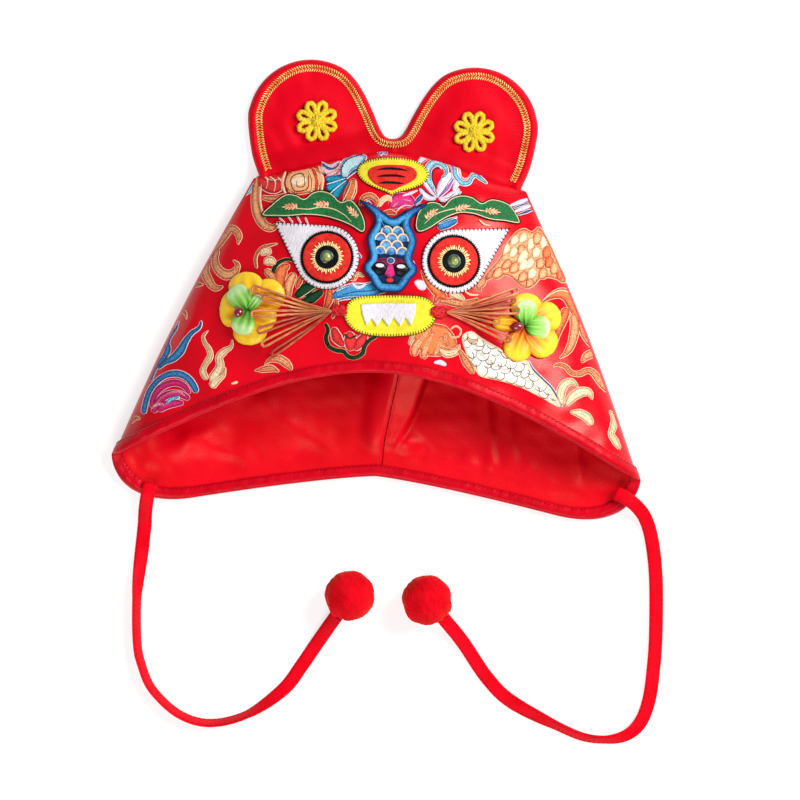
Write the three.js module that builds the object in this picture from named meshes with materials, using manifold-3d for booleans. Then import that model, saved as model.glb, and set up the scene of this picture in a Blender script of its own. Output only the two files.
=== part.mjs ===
// A child's tiger hat of padded satin, lying on its back with its mouth towards -Y and its ears towards +Y.
// Millimetres, +Z up from the surface that it lies on, X across the hat.
import * as THREE from 'three';
import { mergeVertices } from 'three/addons/utils/BufferGeometryUtils.js';
import Module from 'manifold-3d';

const wasm = await Module();
wasm.setup();

// Hat body
const HEM_WIDTH = 262;      // from fold to fold at the mouth
const CROWN_WIDTH = 136;    // from fold to fold at the crown's corners
const FOLD_LENGTH = 141;    // along Y, from the mouth to the crown's corners
const SIDE_BOW = 3;         // how far the folds bow outwards
const CROWN_ARCH = 16.5;    // the crown seam's middle above its corners
const FRONT_ARCH = 47;      // the front hem's middle above the folds' ends
const REAR_DIP = 4.5;       // the rear hem's middle below the folds' ends
const EAR_FLAP_DROP = 23.5; // the ear flaps' reach below the rear hem's middle
const FLAP_CORNER = 0.3;    // share of the half width that rounds each flap's corner
const PUFF = 34;            // the front's rise above the folds
const FOLD_RISE = 8;        // height of the folds and of the crown seam
const FLAT_SHARE = 0.8;     // share of the back, across, that lies flat
const SEAM_SHARE = 0.9;     // share of the back, along, that lies flat

// Cloth
const GAP = 0.3;            // between pieces that are sewn together
const SATIN = 1.2;          // padded outer cloth
const LINING = 1;
const BINDING_WIDTH = 5.8;
const BINDING_CLOTH = 1;
const HEM_SET = 1.5;        // the raw hem inside the binding's fold
const FELT = 1;
const CROWN_ALLOWANCE = 1.6; // the crown seam's thickness over that of the cloth

// Ears
const EAR_RADIUS = 31.5;
const EAR_SPREAD = 41;      // each ear's centre from the middle
const EAR_CENTRE_RISE = 13; // the ears' centres above the crown seam's middle
const EAR_PAD = 5.5;
const EAR_DROOP = 14;       // length in which the ears come down to the surface
const VALLEY_RISE = 6.8;    // the edge between the ears above the crown seam's middle
const BRAID_WIDTH = 3;
const BRAID_INSET = 6;      // the braid's middle from the ears' edge
const BRAID_HEIGHT = 1.2;
const LOOP_FLOWER_RADIUS = 11;
const LOOP_FLOWER_HEIGHT = 2;
const LOOP_COUNT = 8;
const FLOWER_KNOT_RADIUS = 3;

// Forehead patch
const PATCH_WIDTH = 36;
const PATCH_HEIGHT = 19.5;
const SHIELD_WIDTH = 24;
const SHIELD_HEIGHT = 14.5;
const STRIPE_LENGTH = 15;
const STRIPE_WIDTH = 2.2;
const STRIPE_PITCH = 4;
const STRIPE_COUNT = 3;

// Face
const BROW_LENGTH = 51.6;
const BROW_DEPTH = 19.6;
const BROW_HEIGHT = 1.2;
const EYE_RADIUS = 15.7;
const EYE_CORNER = 31.5;    // from the eye's centre to its outer corner
const EYE_CORNER_ANGLE = 31;
const EYE_RING_RADIUS = 13.3;
const IRIS_RADIUS = 12.1;
const LASH_RADIUS = 8;
const PUPIL_RADIUS = 5.6;
const EYE_BEAD_RADIUS = 2.6;
const NOSE_LENGTH = 44;
const NOSE_WIDTH = 32;
const NOSE_ROLL = 4;        // width and height of the fish's padded edge
const FISH_EYE_RADIUS = 1.9;
const SCALE_RADIUS = 2.6;
const MOUTH_WIDTH = 45;
const MOUTH_HEIGHT = 19.6;
const TEETH_WIDTH = 27.5;
const TOOTH_HEIGHT = 11;
const TOOTH_COUNT = 5;

// Whiskers and cloth flowers
const KNOT_LENGTH = 7.5;
const KNOT_WIDTH = 4;
const WHISKER_CLEARANCE = 0.9; // between the locks' ends and the flower's bead
const WHISKER_HEAD = 2.6;
const WHISKER_RISE_START = 16; // outside the petals, where the whiskers begin to rise over them
const WHISKER_RISE_END = 5;
const WHISKER_LOCKS = 5;
const WHISKER_TIP = 3.6;    // width of each lock's end
const WHISKER_HEIGHT = 1.6;
const PETAL_RADIUS = 15.2;
const PETAL_COUNT = 5;
const PETAL_HEIGHT = 3;
const LEAF_RADIUS = 8.6;
const LEAF_HEIGHT = 1.8;
const FLOWER_BEAD_RADIUS = 2.1;

// Ties and pompoms
const TIE_WIDTH = 7;
const TIE_THICKNESS = 1.6;
const POMPOM_RADIUS = 12.6;
const POMPOM_LOCKS = 6;

// Places on the front, as shares of the half width at the mouth and of the front's length
const HALF = HEM_WIDTH / 2;
const FRONT_LENGTH = FOLD_LENGTH + CROWN_ARCH - FRONT_ARCH;
const PLACES = {
  patch: { across: 0.011, along: 0.878 },
  browLeft: { across: -0.281, along: 0.714 },
  browRight: { across: 0.303, along: 0.724 },
  eyeLeft: { across: -0.223, along: 0.505 },
  eyeRight: { across: 0.256, along: 0.515 },
  nose: { across: 0.018, along: 0.561 },
  mouth: { across: 0.021, along: 0.256 },
  knotLeft: { across: -0.185, along: 0.267 },
  knotRight: { across: 0.226, along: 0.276 },
  flowerLeft: { across: -0.511, along: 0.262 },
  flowerRight: { across: 0.549, along: 0.242 },
};

// Outlines, as shares of each piece's own length and height
const BROW_OUTLINE = [
  [1, 0.33], [0.79, 0.86], [0.6, 0.79], [0.44, 1], [0.25, 0.74], [0.16, 0.8],
  [0.08, 0.63], [0, 0.2], [0.04, 0], [0.26, 0.26], [0.57, 0.36], [0.85, 0.3],
];
const NOSE_OUTLINE = [
  [0, -0.5], [0.22, -0.48], [0.31, -0.36], [0.4, -0.24], [0.34, -0.14], [0.375, 0.08],
  [0.29, 0.27], [0.38, 0.4], [0.5, 0.5], [0.26, 0.44], [0.11, 0.39], [0, 0.36],
];
const NOSE_INNER_OUTLINE = [
  [0, -0.4], [0.13, -0.39], [0.19, -0.31], [0.265, -0.23], [0.22, -0.13], [0.25, 0.08],
  [0.16, 0.235], [0, 0.24],
];
const PATCH_OUTLINE = [
  [0, -0.5], [0.24, -0.4], [0.45, -0.17], [0.49, 0.1], [0.36, 0.38], [0.12, 0.49],
];

// Routes of the ties' middle lines, from the ear flap to the pompom; z is the height above the surface
const TIE_LEFT = [
  [-112, -104, 6.9], [-113.2, -110, 7.1], [-114, -117, 4.2], [-114.2, -125, 1.2], [-114.8, -135.5, 0.9],
  [-116.2, -160, 0.9], [-115, -183.6, 0.9], [-112, -195.5, 0.9], [-106, -207.2, 0.9], [-92.4, -218.6, 0.9],
  [-76.7, -222.3, 0.9], [-58.2, -217, 0.9], [-41.1, -204, 0.9], [-32.4, -191.6, 0.9], [-24.8, -179.2, 2.2],
  [-16.2, -165.5, 7.3],
];
const TIE_RIGHT = [
  [119.5, -97.5, 8.2], [125.5, -100, 8.8], [131.5, -104.5, 6.4], [136, -110.5, 2.6], [139.5, -121, 1.2],
  [142.3, -139, 0.9], [143.6, -165, 0.9], [143.4, -183, 0.9], [141.7, -201, 0.9], [137, -213.3, 0.9],
  [127.6, -219.8, 0.9], [112.4, -220.6, 0.9], [96.6, -215.3, 0.9], [73.3, -204.4, 0.9], [60.5, -193.1, 0.9],
  [47.4, -175.7, 2.4], [37, -164, 7.3],
];
const POMPOM_LEFT = [-9.9, -155];
const POMPOM_RIGHT = [28.6, -155.3];

// Heights of the stacked pieces above the satin
const FELT_TOP = GAP + FELT;
const RING_LIFT = FELT_TOP + GAP;
const RING_TOP = RING_LIFT + 0.6;
const IRIS_TOP = RING_LIFT + FELT;
const LASH_LIFT = IRIS_TOP + GAP;
const PUPIL_TOP = LASH_LIFT + 1.2;
const PETAL_TOP = GAP + PETAL_HEIGHT;
const LEAF_TOP = PETAL_TOP + GAP + LEAF_HEIGHT;

const MOUTH_Y = -90;        // the folds' ends; the finished hat is centred on Y at the end
const STACK = SATIN + GAP + LINING;
const PANEL_COLUMNS = 18;
const PANEL_ROWS = 10;
const DIAGONAL_RATIO = 1.35;
const CELL = { wide: 12, plain: 9, small: 6, fine: 4 }; // plan size of the facets on pieces over the satin

const { lerp, clamp, smoothstep, degToRad } = THREE.MathUtils;

// Half the hat's width at a height along Y
function foldHalf(y) {
  const run = Math.max(0, (y - MOUTH_Y) / FOLD_LENGTH);
  return lerp(HALF, CROWN_WIDTH / 2, run) + SIDE_BOW * Math.sin(Math.PI * run);
}

const hemSlant = Math.hypot(1, 2 * FRONT_ARCH / HEM_WIDTH * 1.95);

function crownY(share) {
  return MOUTH_Y + FOLD_LENGTH + CROWN_ARCH * (1 - Math.abs(share) ** 1.6);
}

// The crown seam at a depth in the cloth
const seamY = (share, depth) => crownY(share) - CROWN_ALLOWANCE * depth;

// The hem on the front, or a line inside it by an inset
function frontHem(share, inset = 0) {
  const s = Math.abs(share);
  const slope = FRONT_ARCH * 1.95 * s ** 0.95 / HALF;
  return MOUTH_Y + FRONT_ARCH * (1 - s ** 1.95) + inset * Math.hypot(1, slope);
}

function flapRounding(share) {
  const corner = Math.max(0, (Math.abs(share) - 1 + FLAP_CORNER) / FLAP_CORNER);
  return Math.sqrt(Math.max(0, 1 - corner * corner));
}

// The hem on the back, or a line inside it by an inset; at the folds it meets the front's line
function rearHem(share, inset = 0) {
  const drop = REAR_DIP + EAR_FLAP_DROP * Math.abs(share) ** 1.25;
  const round = flapRounding(share);
  return MOUTH_Y - drop * round + inset * (hemSlant - (hemSlant - 1) * round);
}

function puff(share, along) {
  const across = Math.max(0, 1 - Math.abs(share) ** 2.3) ** 0.55;
  const length = Math.sqrt(Math.max(0, 1 - clamp(along, 0, 1) ** 2.6));
  return PUFF * across * length;
}

// Height of the front sheet, a depth inside the satin's face
function frontHeight(share, y, depth = 0) {
  const hem = frontHem(share);
  const along = (y - hem) / (seamY(share, depth) - hem);
  return FOLD_RISE + puff(share, along) * (PUFF - depth) / PUFF;
}

// Height of the back sheet: flat, raised by the binding along the hem, rounded up into folds and seam
function rearHeight(share, y, depth = 0) {
  const hem = rearHem(share);
  const along = (y - hem) / (seamY(share, depth) - hem);
  const side = Math.max(0, (Math.abs(share) - FLAT_SHARE) / (1 - FLAT_SHARE));
  const end = Math.max(0, (along - SEAM_SHARE) / (1 - SEAM_SHARE));
  const turn = 1 - Math.sqrt(Math.max(0, 1 - side * side) * Math.max(0, 1 - end * end));
  const inset = (y - hem) / (hemSlant - (hemSlant - 1) * flapRounding(share));
  const lift = (BINDING_CLOTH + GAP) * (1 - smoothstep(inset, BINDING_WIDTH + 1, 2.4 * BINDING_WIDTH));
  return lerp(depth + lift, FOLD_RISE, turn);
}

// One closed ring of points round the pocket: across the front and back along the rear
function pocketRing(yFront, yRear, depth) {
  const ring = [];
  for (let i = 0; i <= PANEL_COLUMNS; i += 1) {
    const share = -Math.cos(Math.PI * i / PANEL_COLUMNS);
    const y = yFront(share);
    ring.push([share * (foldHalf(y) - depth), y, frontHeight(share, y, depth)]);
  }
  for (let i = 1; i < PANEL_COLUMNS; i += 1) {
    const share = Math.cos(Math.PI * i / PANEL_COLUMNS);
    const y = yRear(share);
    ring.push([share * (foldHalf(y) - depth), y, rearHeight(share, y, depth)]);
  }
  return ring;
}

function surfaceRings(depth, inset) {
  const rings = [];
  for (let row = 0; row <= PANEL_ROWS; row += 1) {
    const along = 1 - (1 - row / PANEL_ROWS) ** 1.7;
    const toCrown = (hem) => (share) => lerp(hem(share, inset), seamY(share, depth), along);
    rings.push(pocketRing(toCrown(frontHem), toCrown(rearHem), depth));
  }
  return rings;
}

const distance = (p, q) => Math.hypot(p[0] - q[0], p[1] - q[1], p[2] - q[2]);

// Closed geometry from rings of points that are joined in order. A cell is cut along its clearly shorter
// diagonal, or else so that the left half mirrors the right one.
function ringsGeometry(rings, closed) {
  const count = rings[0].length;
  const index = [];
  const spans = closed ? rings.length : rings.length - 1;
  for (let row = 0; row < spans; row += 1) {
    const next = (row + 1) % rings.length;
    for (let i = 0; i < count; i += 1) {
      const j = (i + 1) % count;
      const [a, b, c, d] = [row * count + i, row * count + j, next * count + j, next * count + i];
      const ratio = distance(rings[row][i], rings[next][j]) / distance(rings[row][j], rings[next][i]);
      const onLeft = rings[row][i][0] + rings[row][j][0] < 0;
      const crossed = ratio > DIAGONAL_RATIO || (onLeft && ratio * DIAGONAL_RATIO > 1);
      index.push(...(crossed ? [a, b, d, b, c, d] : [a, b, c, a, c, d]));
    }
  }
  const geometry = new THREE.BufferGeometry();
  geometry.setAttribute('position', new THREE.Float32BufferAttribute(rings.flat(2), 3));
  geometry.setIndex(index);
  return geometry;
}

// A manifold solid from closed geometry, turned right side out
function solid(source) {
  const geometry = source.clone();
  geometry.deleteAttribute('normal');
  geometry.deleteAttribute('uv');
  const merged = mergeVertices(geometry, 1e-4);
  const points = merged.attributes.position.array;
  const triangles = [];
  let volume = 0;
  const vertex = (i) => new THREE.Vector3().fromArray(points, 3 * i);
  for (let i = 0; i < merged.index.count; i += 3) {
    const [a, b, c] = [0, 1, 2].map((k) => merged.index.getX(i + k));
    if (a === b || b === c || c === a) continue;
    triangles.push([a, b, c]);
    volume += vertex(a).dot(vertex(b).cross(vertex(c)));
  }
  const turned = volume < 0 ? triangles.map(([a, b, c]) => [a, c, b]) : triangles;
  return new wasm.Manifold(new wasm.Mesh({
    numProp: 3,
    vertProperties: Float32Array.from(points),
    triVerts: Uint32Array.from(turned.flat()),
  }));
}

function geometryOf(manifold) {
  const mesh = manifold.getMesh();
  const geometry = new THREE.BufferGeometry();
  geometry.setAttribute('position', new THREE.BufferAttribute(Float32Array.from(mesh.vertProperties), 3));
  geometry.setIndex(Array.from(mesh.triVerts));
  return geometry;
}

// A pocket of cloth between two depths, open at the mouth and ending at an inset from the hem
function pocketCloth(depth, thickness, inset = HEM_SET) {
  const outer = surfaceRings(depth, inset);
  const inner = surfaceRings(depth + thickness, inset);
  return solid(ringsGeometry([...outer.reverse(), ...inner], false));
}

// The strip folded round the hem: a bead with a section of insets and depths, less room for the cloth
function bindingSolid() {
  const outside = -GAP - BINDING_CLOTH;
  const inside = STACK + GAP + BINDING_CLOTH;
  const nose = 0.9;
  const section = [
    [BINDING_WIDTH, outside], [nose, outside], [0, 0], [0, STACK], [nose, inside], [BINDING_WIDTH, inside],
  ];
  const rings = section.map(([inset, depth]) => pocketRing(
    (share) => frontHem(share, inset),
    (share) => rearHem(share, inset),
    depth,
  ));
  const room = (inset) => pocketCloth(-GAP, STACK + 2 * GAP, inset);
  return solid(ringsGeometry(rings, true)).subtract(room(HEM_SET - GAP)).subtract(room(HEM_SET));
}

// Share of the half width at a point in plan
const shareAt = (x, y) => clamp(x / foldHalf(y), -1, 1);

const satinTop = (x, y) => frontHeight(shareAt(x, y), y);

// Heights of the ears' lower face: seated on the crown seam, then down on the surface
function earBase(x, y) {
  const beyond = (y - crownY(shareAt(x, y))) / EAR_DROOP;
  return (FOLD_RISE - EAR_PAD / 2) * (1 - smoothstep(beyond, 0, 1));
}
const earTop = (x, y) => earBase(x, y) + EAR_PAD;

// A slab between two height functions, with facets on one shared plan grid
function slab(points, low, high, cell) {
  const box = new THREE.Box2().setFromPoints(points).expandByScalar(0.5);
  const columns = [];
  const rows = [];
  for (let i = Math.floor(box.min.x / cell); i <= Math.ceil(box.max.x / cell); i += 1) columns.push(i * cell);
  for (let i = Math.floor(box.min.y / cell); i <= Math.ceil(box.max.y / cell); i += 1) rows.push(i * cell);
  const vertices = [];
  for (const height of [low, high]) {
    for (const y of rows) for (const x of columns) vertices.push(x, y, height(x, y));
  }
  const layer = rows.length * columns.length;
  const at = (level, row, column) => level * layer + row * columns.length + column;
  const index = [];
  const quad = (a, b, c, d) => index.push(a, b, c, a, c, d);
  for (let r = 0; r < rows.length - 1; r += 1) {
    for (let c = 0; c < columns.length - 1; c += 1) {
      quad(at(1, r, c), at(1, r, c + 1), at(1, r + 1, c + 1), at(1, r + 1, c));
      index.push(at(0, r, c), at(0, r + 1, c + 1), at(0, r, c + 1));
      index.push(at(0, r, c), at(0, r + 1, c), at(0, r + 1, c + 1));
    }
  }
  for (let c = 0; c < columns.length - 1; c += 1) {
    const last = rows.length - 1;
    quad(at(0, 0, c), at(0, 0, c + 1), at(1, 0, c + 1), at(1, 0, c));
    quad(at(0, last, c + 1), at(0, last, c), at(1, last, c), at(1, last, c + 1));
  }
  for (let r = 0; r < rows.length - 1; r += 1) {
    const last = columns.length - 1;
    quad(at(0, r + 1, 0), at(0, r, 0), at(1, r, 0), at(1, r + 1, 0));
    quad(at(0, r, last), at(0, r + 1, last), at(1, r + 1, last), at(1, r, last));
  }
  const geometry = new THREE.BufferGeometry();
  geometry.setAttribute('position', new THREE.Float32BufferAttribute(vertices, 3));
  geometry.setIndex(index);
  return solid(geometry);
}

function prism(points, holes = []) {
  const shape = new THREE.Shape(points);
  shape.holes = holes.map((hole) => new THREE.Path(hole));
  const depth = 3 * (PUFF + FOLD_RISE);
  const geometry = new THREE.ExtrudeGeometry(shape, { depth, bevelEnabled: false });
  geometry.translate(0, 0, -depth / 3);
  return solid(geometry);
}

// A flat piece with a plan outline, draped on a surface between two lifts above it
function draped(points, lift, thickness, { surface = satinTop, holes = [], cell = CELL.plain } = {}) {
  const low = (x, y) => surface(x, y) + lift;
  const high = (x, y) => surface(x, y) + lift + thickness;
  return slab(points, low, high, cell).intersect(prism(points, holes));
}

const vector = ([x, y]) => new THREE.Vector2(x, y);

function placeOf(name) {
  const { across, along } = PLACES[name];
  return new THREE.Vector2(across * HALF, MOUTH_Y + FRONT_ARCH + along * FRONT_LENGTH);
}

function circle(centre, radius, segments = 20) {
  return Array.from({ length: segments }, (_, i) => {
    const angle = 2 * Math.PI * i / segments;
    return new THREE.Vector2(centre.x + radius * Math.cos(angle), centre.y + radius * Math.sin(angle));
  });
}

// A closed round line with equal lobes
function lobed(centre, radius, lobes, depth, turn = 0, segments = 5) {
  return Array.from({ length: lobes * segments }, (_, i) => {
    const angle = turn + 2 * Math.PI * i / (lobes * segments);
    const reach = radius * (1 - depth * (1 - Math.abs(Math.cos(lobes * (angle - turn) / 2))));
    return new THREE.Vector2(centre.x + reach * Math.cos(angle), centre.y + reach * Math.sin(angle));
  });
}

function ellipse(centre, width, height, segments = 22) {
  return circle(new THREE.Vector2(), 1, segments).map((p) => (
    new THREE.Vector2(centre.x + p.x * width / 2, centre.y + p.y * height / 2)
  ));
}

// A table of shares as an outline, mirrored about its middle when it holds one half only
function outline(table, centre, width, height, { mirror = false, flip = 1, smooth = 0 } = {}) {
  const half = table.map(([x, y]) => [flip * x * width, y * height]);
  const left = mirror ? half.filter(([x]) => Math.abs(x) > 1e-6).map(([x, y]) => [-x, y]).reverse() : [];
  const points = [...half, ...left].map(([x, y]) => new THREE.Vector3(centre.x + x, centre.y + y, 0));
  if (!smooth) return points.map(({ x, y }) => new THREE.Vector2(x, y));
  const curve = new THREE.CatmullRomCurve3(points, true, 'centripetal');
  return curve.getPoints(smooth).slice(0, -1).map(({ x, y }) => new THREE.Vector2(x, y));
}

// A strip of even width along a plan line
function strip(line, width) {
  const side = (sign) => line.map((p, i) => {
    const before = line[Math.max(0, i - 1)];
    const after = line[Math.min(line.length - 1, i + 1)];
    const normal = new THREE.Vector2().subVectors(after, before).normalize();
    return new THREE.Vector2(p.x - sign * normal.y * width / 2, p.y + sign * normal.x * width / 2);
  });
  return [...side(-1), ...side(1).reverse()];
}

const group = new THREE.Group();

function piece(name, shape, color, roughness = 0.8) {
  const geometry = shape.isBufferGeometry ? shape : geometryOf(shape);
  geometry.computeVertexNormals();
  const material = new THREE.MeshStandardMaterial({ color, roughness, metalness: 0 });
  const mesh = new THREE.Mesh(geometry, material);
  mesh.name = name;
  group.add(mesh);
  return mesh;
}

const RED = 0xd20a1e;
const BLACK = 0x14100f;
const GOLD = 0xd9a441;
const YELLOW = 0xf3e447;
const WHITE = 0xefe2ea;
const GREEN = 0x1f7040;
const BLUE = 0x2a6fae;
const ORANGE = 0xe8a03a;
const COPPER = 0xb5643a;

function makeBody() {
  piece('shell', pocketCloth(0, SATIN), RED, 0.35);
  piece('lining', pocketCloth(SATIN + GAP, LINING), RED, 0.7);
  piece('hem_binding', bindingSolid(), RED, 0.5);
}

const crownMiddle = MOUTH_Y + FOLD_LENGTH + CROWN_ARCH;
const earCentre = (sign) => new THREE.Vector2(sign * EAR_SPREAD, crownMiddle + EAR_CENTRE_RISE);
const EAR_FOOT = 0.97;      // share of the crown seam that the ears are sewn along

// The line over both ears, inside their edge by an inset, from the right foot to the left one
function earLine(inset) {
  const centre = earCentre(1);
  const radius = EAR_RADIUS - inset;
  const footY = crownY(EAR_FOOT) + GAP;
  const foot = new THREE.Vector2(EAR_FOOT * foldHalf(footY) - inset, footY + inset * 0.6);
  const half = [foot];
  for (let angle = 0; angle <= 189; angle += 21) {
    const turn = degToRad(angle);
    half.push(new THREE.Vector2(centre.x + radius * Math.cos(turn), centre.y + radius * Math.sin(turn)));
  }
  const valley = crownMiddle + VALLEY_RISE - 0.7 * inset;
  half.push(new THREE.Vector2((EAR_SPREAD - EAR_RADIUS + inset) * 0.45, valley + 0.6));
  const left = half.map((p) => new THREE.Vector2(-p.x, p.y)).reverse();
  return [...half, new THREE.Vector2(0, valley), ...left];
}

function makeEars() {
  const seam = [];
  for (let i = -7; i <= 7; i += 1) {
    const share = EAR_FOOT * i / 7.5;
    const y = crownY(share) + GAP;
    seam.push(new THREE.Vector2(share * foldHalf(y), y));
  }
  const pad = [...earLine(0), ...seam];
  piece('ear_pad', draped(pad, 0, EAR_PAD, { surface: earBase }), RED, 0.4);
  const braid = strip(earLine(BRAID_INSET), BRAID_WIDTH);
  piece('ear_braid', draped(braid, GAP, BRAID_HEIGHT, { surface: earTop }), GOLD, 0.5);
  for (const [side, sign] of [['left', -1], ['right', 1]]) {
    const centre = earCentre(sign);
    const loops = lobed(centre, LOOP_FLOWER_RADIUS, LOOP_COUNT, 0.3, 0, 4);
    piece(`ear_flower_${side}`, draped(loops, GAP, LOOP_FLOWER_HEIGHT, { surface: earTop }), YELLOW);
    const knot = circle(centre, FLOWER_KNOT_RADIUS, 12);
    const lift = 2 * GAP + LOOP_FLOWER_HEIGHT;
    piece(`ear_flower_knot_${side}`, draped(knot, lift, FELT, { surface: earTop }), YELLOW);
  }
}

function makeForehead() {
  const centre = placeOf('patch');
  const patch = outline(PATCH_OUTLINE, centre, PATCH_WIDTH, PATCH_HEIGHT, { mirror: true, smooth: 20 });
  const fine = { cell: CELL.fine };
  piece('forehead_patch', draped(patch, GAP, FELT, fine), YELLOW);
  const shield = outline(PATCH_OUTLINE, centre, SHIELD_WIDTH, SHIELD_HEIGHT, { mirror: true, smooth: 18 });
  piece('forehead_shield', draped(shield, FELT_TOP + GAP, FELT, fine), RED);
  for (let i = 0; i < STRIPE_COUNT; i += 1) {
    const y = centre.y + STRIPE_PITCH * ((STRIPE_COUNT - 1) / 2 - i);
    const stripe = ellipse(new THREE.Vector2(centre.x, y), STRIPE_LENGTH, STRIPE_WIDTH, 12);
    piece(`forehead_stripe_${i + 1}`, draped(stripe, FELT_TOP + FELT + 2 * GAP, 0.6, fine), BLACK);
  }
}

function makeBrows() {
  const room = { mirror: true };
  const tail = prism(outline(NOSE_OUTLINE, placeOf('nose'), NOSE_WIDTH + 4 * GAP, NOSE_LENGTH + 2 * GAP, room));
  for (const [side, name, flip] of [['left', 'browLeft', -1], ['right', 'browRight', 1]]) {
    const middle = placeOf(name);
    const corner = new THREE.Vector2(middle.x - flip * BROW_LENGTH / 2, middle.y - BROW_DEPTH / 2);
    const brow = outline(BROW_OUTLINE, corner, BROW_LENGTH, BROW_DEPTH, { flip, smooth: 26 });
    const parts = draped(brow, GAP, BROW_HEIGHT).subtract(tail).decompose();
    parts.sort((a, b) => b.volume() - a.volume());
    piece(`brow_${side}`, parts[0], GREEN);
  }
}

// The white of the eye: a circle drawn out to a corner
function eyeWhite(centre, flip) {
  const open = Math.acos(EYE_RADIUS / EYE_CORNER);
  const lean = degToRad(EYE_CORNER_ANGLE);
  const points = [new THREE.Vector2(
    centre.x + flip * EYE_CORNER * Math.cos(lean),
    centre.y + EYE_CORNER * Math.sin(lean),
  )];
  for (let i = 0; i <= 16; i += 1) {
    const angle = lean + open + (2 * Math.PI - 2 * open) * i / 16;
    points.push(new THREE.Vector2(
      centre.x + flip * EYE_RADIUS * Math.cos(angle),
      centre.y + EYE_RADIUS * Math.sin(angle),
    ));
  }
  return points;
}

function makeEyes() {
  for (const [side, name, flip] of [['left', 'eyeLeft', -1], ['right', 'eyeRight', 1]]) {
    const centre = placeOf(name);
    const wide = { cell: CELL.wide };
    const ringHole = circle(centre, IRIS_RADIUS + GAP);
    const lashHole = circle(centre, PUPIL_RADIUS + GAP, 14);
    piece(`eye_white_${side}`, draped(eyeWhite(centre, flip), GAP, FELT), WHITE);
    const ringOptions = { ...wide, holes: [ringHole] };
    const ring = draped(circle(centre, EYE_RING_RADIUS), RING_LIFT, RING_TOP - RING_LIFT, ringOptions);
    piece(`eye_ring_${side}`, ring, BLACK);
    piece(`eye_iris_${side}`, draped(circle(centre, IRIS_RADIUS), RING_LIFT, FELT, wide), RED);
    const lashes = draped(circle(centre, LASH_RADIUS, 14), LASH_LIFT, 0.6, { ...wide, holes: [lashHole] });
    piece(`eye_lashes_${side}`, lashes, GOLD);
    piece(`eye_pupil_${side}`, draped(circle(centre, PUPIL_RADIUS, 14), LASH_LIFT, 1.2, wide), BLACK, 0.4);
    const bead = new THREE.SphereGeometry(EYE_BEAD_RADIUS, 10, 6);
    bead.scale(1, 1, 0.6);
    const height = satinTop(centre.x, centre.y) + PUPIL_TOP + GAP + 0.6 * EYE_BEAD_RADIUS;
    bead.translate(centre.x, centre.y, height);
    piece(`eye_bead_${side}`, bead, GOLD, 0.2);
  }
}

function makeNose() {
  const centre = placeOf('nose');
  const shape = (table, grow) => (
    outline(table, centre, NOSE_WIDTH - grow, NOSE_LENGTH - grow, { mirror: true, smooth: 26 })
  );
  const outer = outline(NOSE_OUTLINE, centre, NOSE_WIDTH, NOSE_LENGTH, { mirror: true });
  const hole = shape(NOSE_INNER_OUTLINE, 0);
  piece('nose_roll', draped(outer, GAP, NOSE_ROLL, { holes: [hole] }), BLUE);
  piece('nose_cloth', draped(shape(NOSE_INNER_OUTLINE, 4 * GAP), GAP, FELT), 0x1d3f4a);
  let scales = null;
  const counts = [1, 2, 3, 2];
  counts.forEach((count, row) => {
    for (let i = 0; i < count; i += 1) {
      const x = centre.x + (i - (count - 1) / 2) * 1.6 * SCALE_RADIUS;
      const y = centre.y - 0.09 * NOSE_LENGTH + 1.5 * SCALE_RADIUS * row;
      const plate = prism(circle(new THREE.Vector2(x, y), SCALE_RADIUS, 12));
      scales = scales ? scales.add(plate) : plate;
    }
  });
  const area = shape(NOSE_INNER_OUTLINE, 6 * GAP);
  piece('nose_scales', draped(area, FELT_TOP + GAP, 0.7).intersect(scales), GOLD);
  for (const [side, sign] of [['left', -1], ['right', 1]]) {
    const eye = new THREE.Vector2(centre.x + sign * 0.17 * NOSE_WIDTH, centre.y - 0.235 * NOSE_LENGTH);
    piece(`nose_eye_${side}`, draped(circle(eye, FISH_EYE_RADIUS, 12), FELT_TOP + GAP, 1), BLACK, 0.3);
  }
}

function makeMouth() {
  const centre = placeOf('mouth');
  piece('mouth', draped(ellipse(centre, MOUTH_WIDTH, MOUTH_HEIGHT), GAP, FELT, { cell: CELL.wide }), YELLOW);
  const left = centre.x - TEETH_WIDTH / 2;
  const top = centre.y + 0.5 * TOOTH_HEIGHT;
  const pitch = TEETH_WIDTH / TOOTH_COUNT;
  const teeth = [new THREE.Vector2(left + TEETH_WIDTH, top), new THREE.Vector2(left, top)];
  for (let i = 0; i < TOOTH_COUNT; i += 1) {
    const start = left + i * pitch;
    teeth.push(new THREE.Vector2(start + 0.2 * pitch, top - 0.85 * TOOTH_HEIGHT));
    teeth.push(new THREE.Vector2(start + 0.5 * pitch, top - TOOTH_HEIGHT));
    teeth.push(new THREE.Vector2(start + 0.8 * pitch, top - 0.85 * TOOTH_HEIGHT));
    if (i < TOOTH_COUNT - 1) teeth.push(new THREE.Vector2(start + pitch, top - 0.6 * TOOTH_HEIGHT));
  }
  piece('teeth', draped(teeth, FELT_TOP + GAP, FELT, { cell: CELL.wide }), WHITE);
}

// The satin's face with a smooth rise over the cloth flower, for the whiskers that cross it
function whiskerBase(flower) {
  return (x, y) => {
    const near = Math.hypot(x - flower.x, y - flower.y);
    const over = 1 - smoothstep(near, PETAL_RADIUS + WHISKER_RISE_END, PETAL_RADIUS + WHISKER_RISE_START);
    return satinTop(x, y) + over * LEAF_TOP;
  };
}

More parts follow.
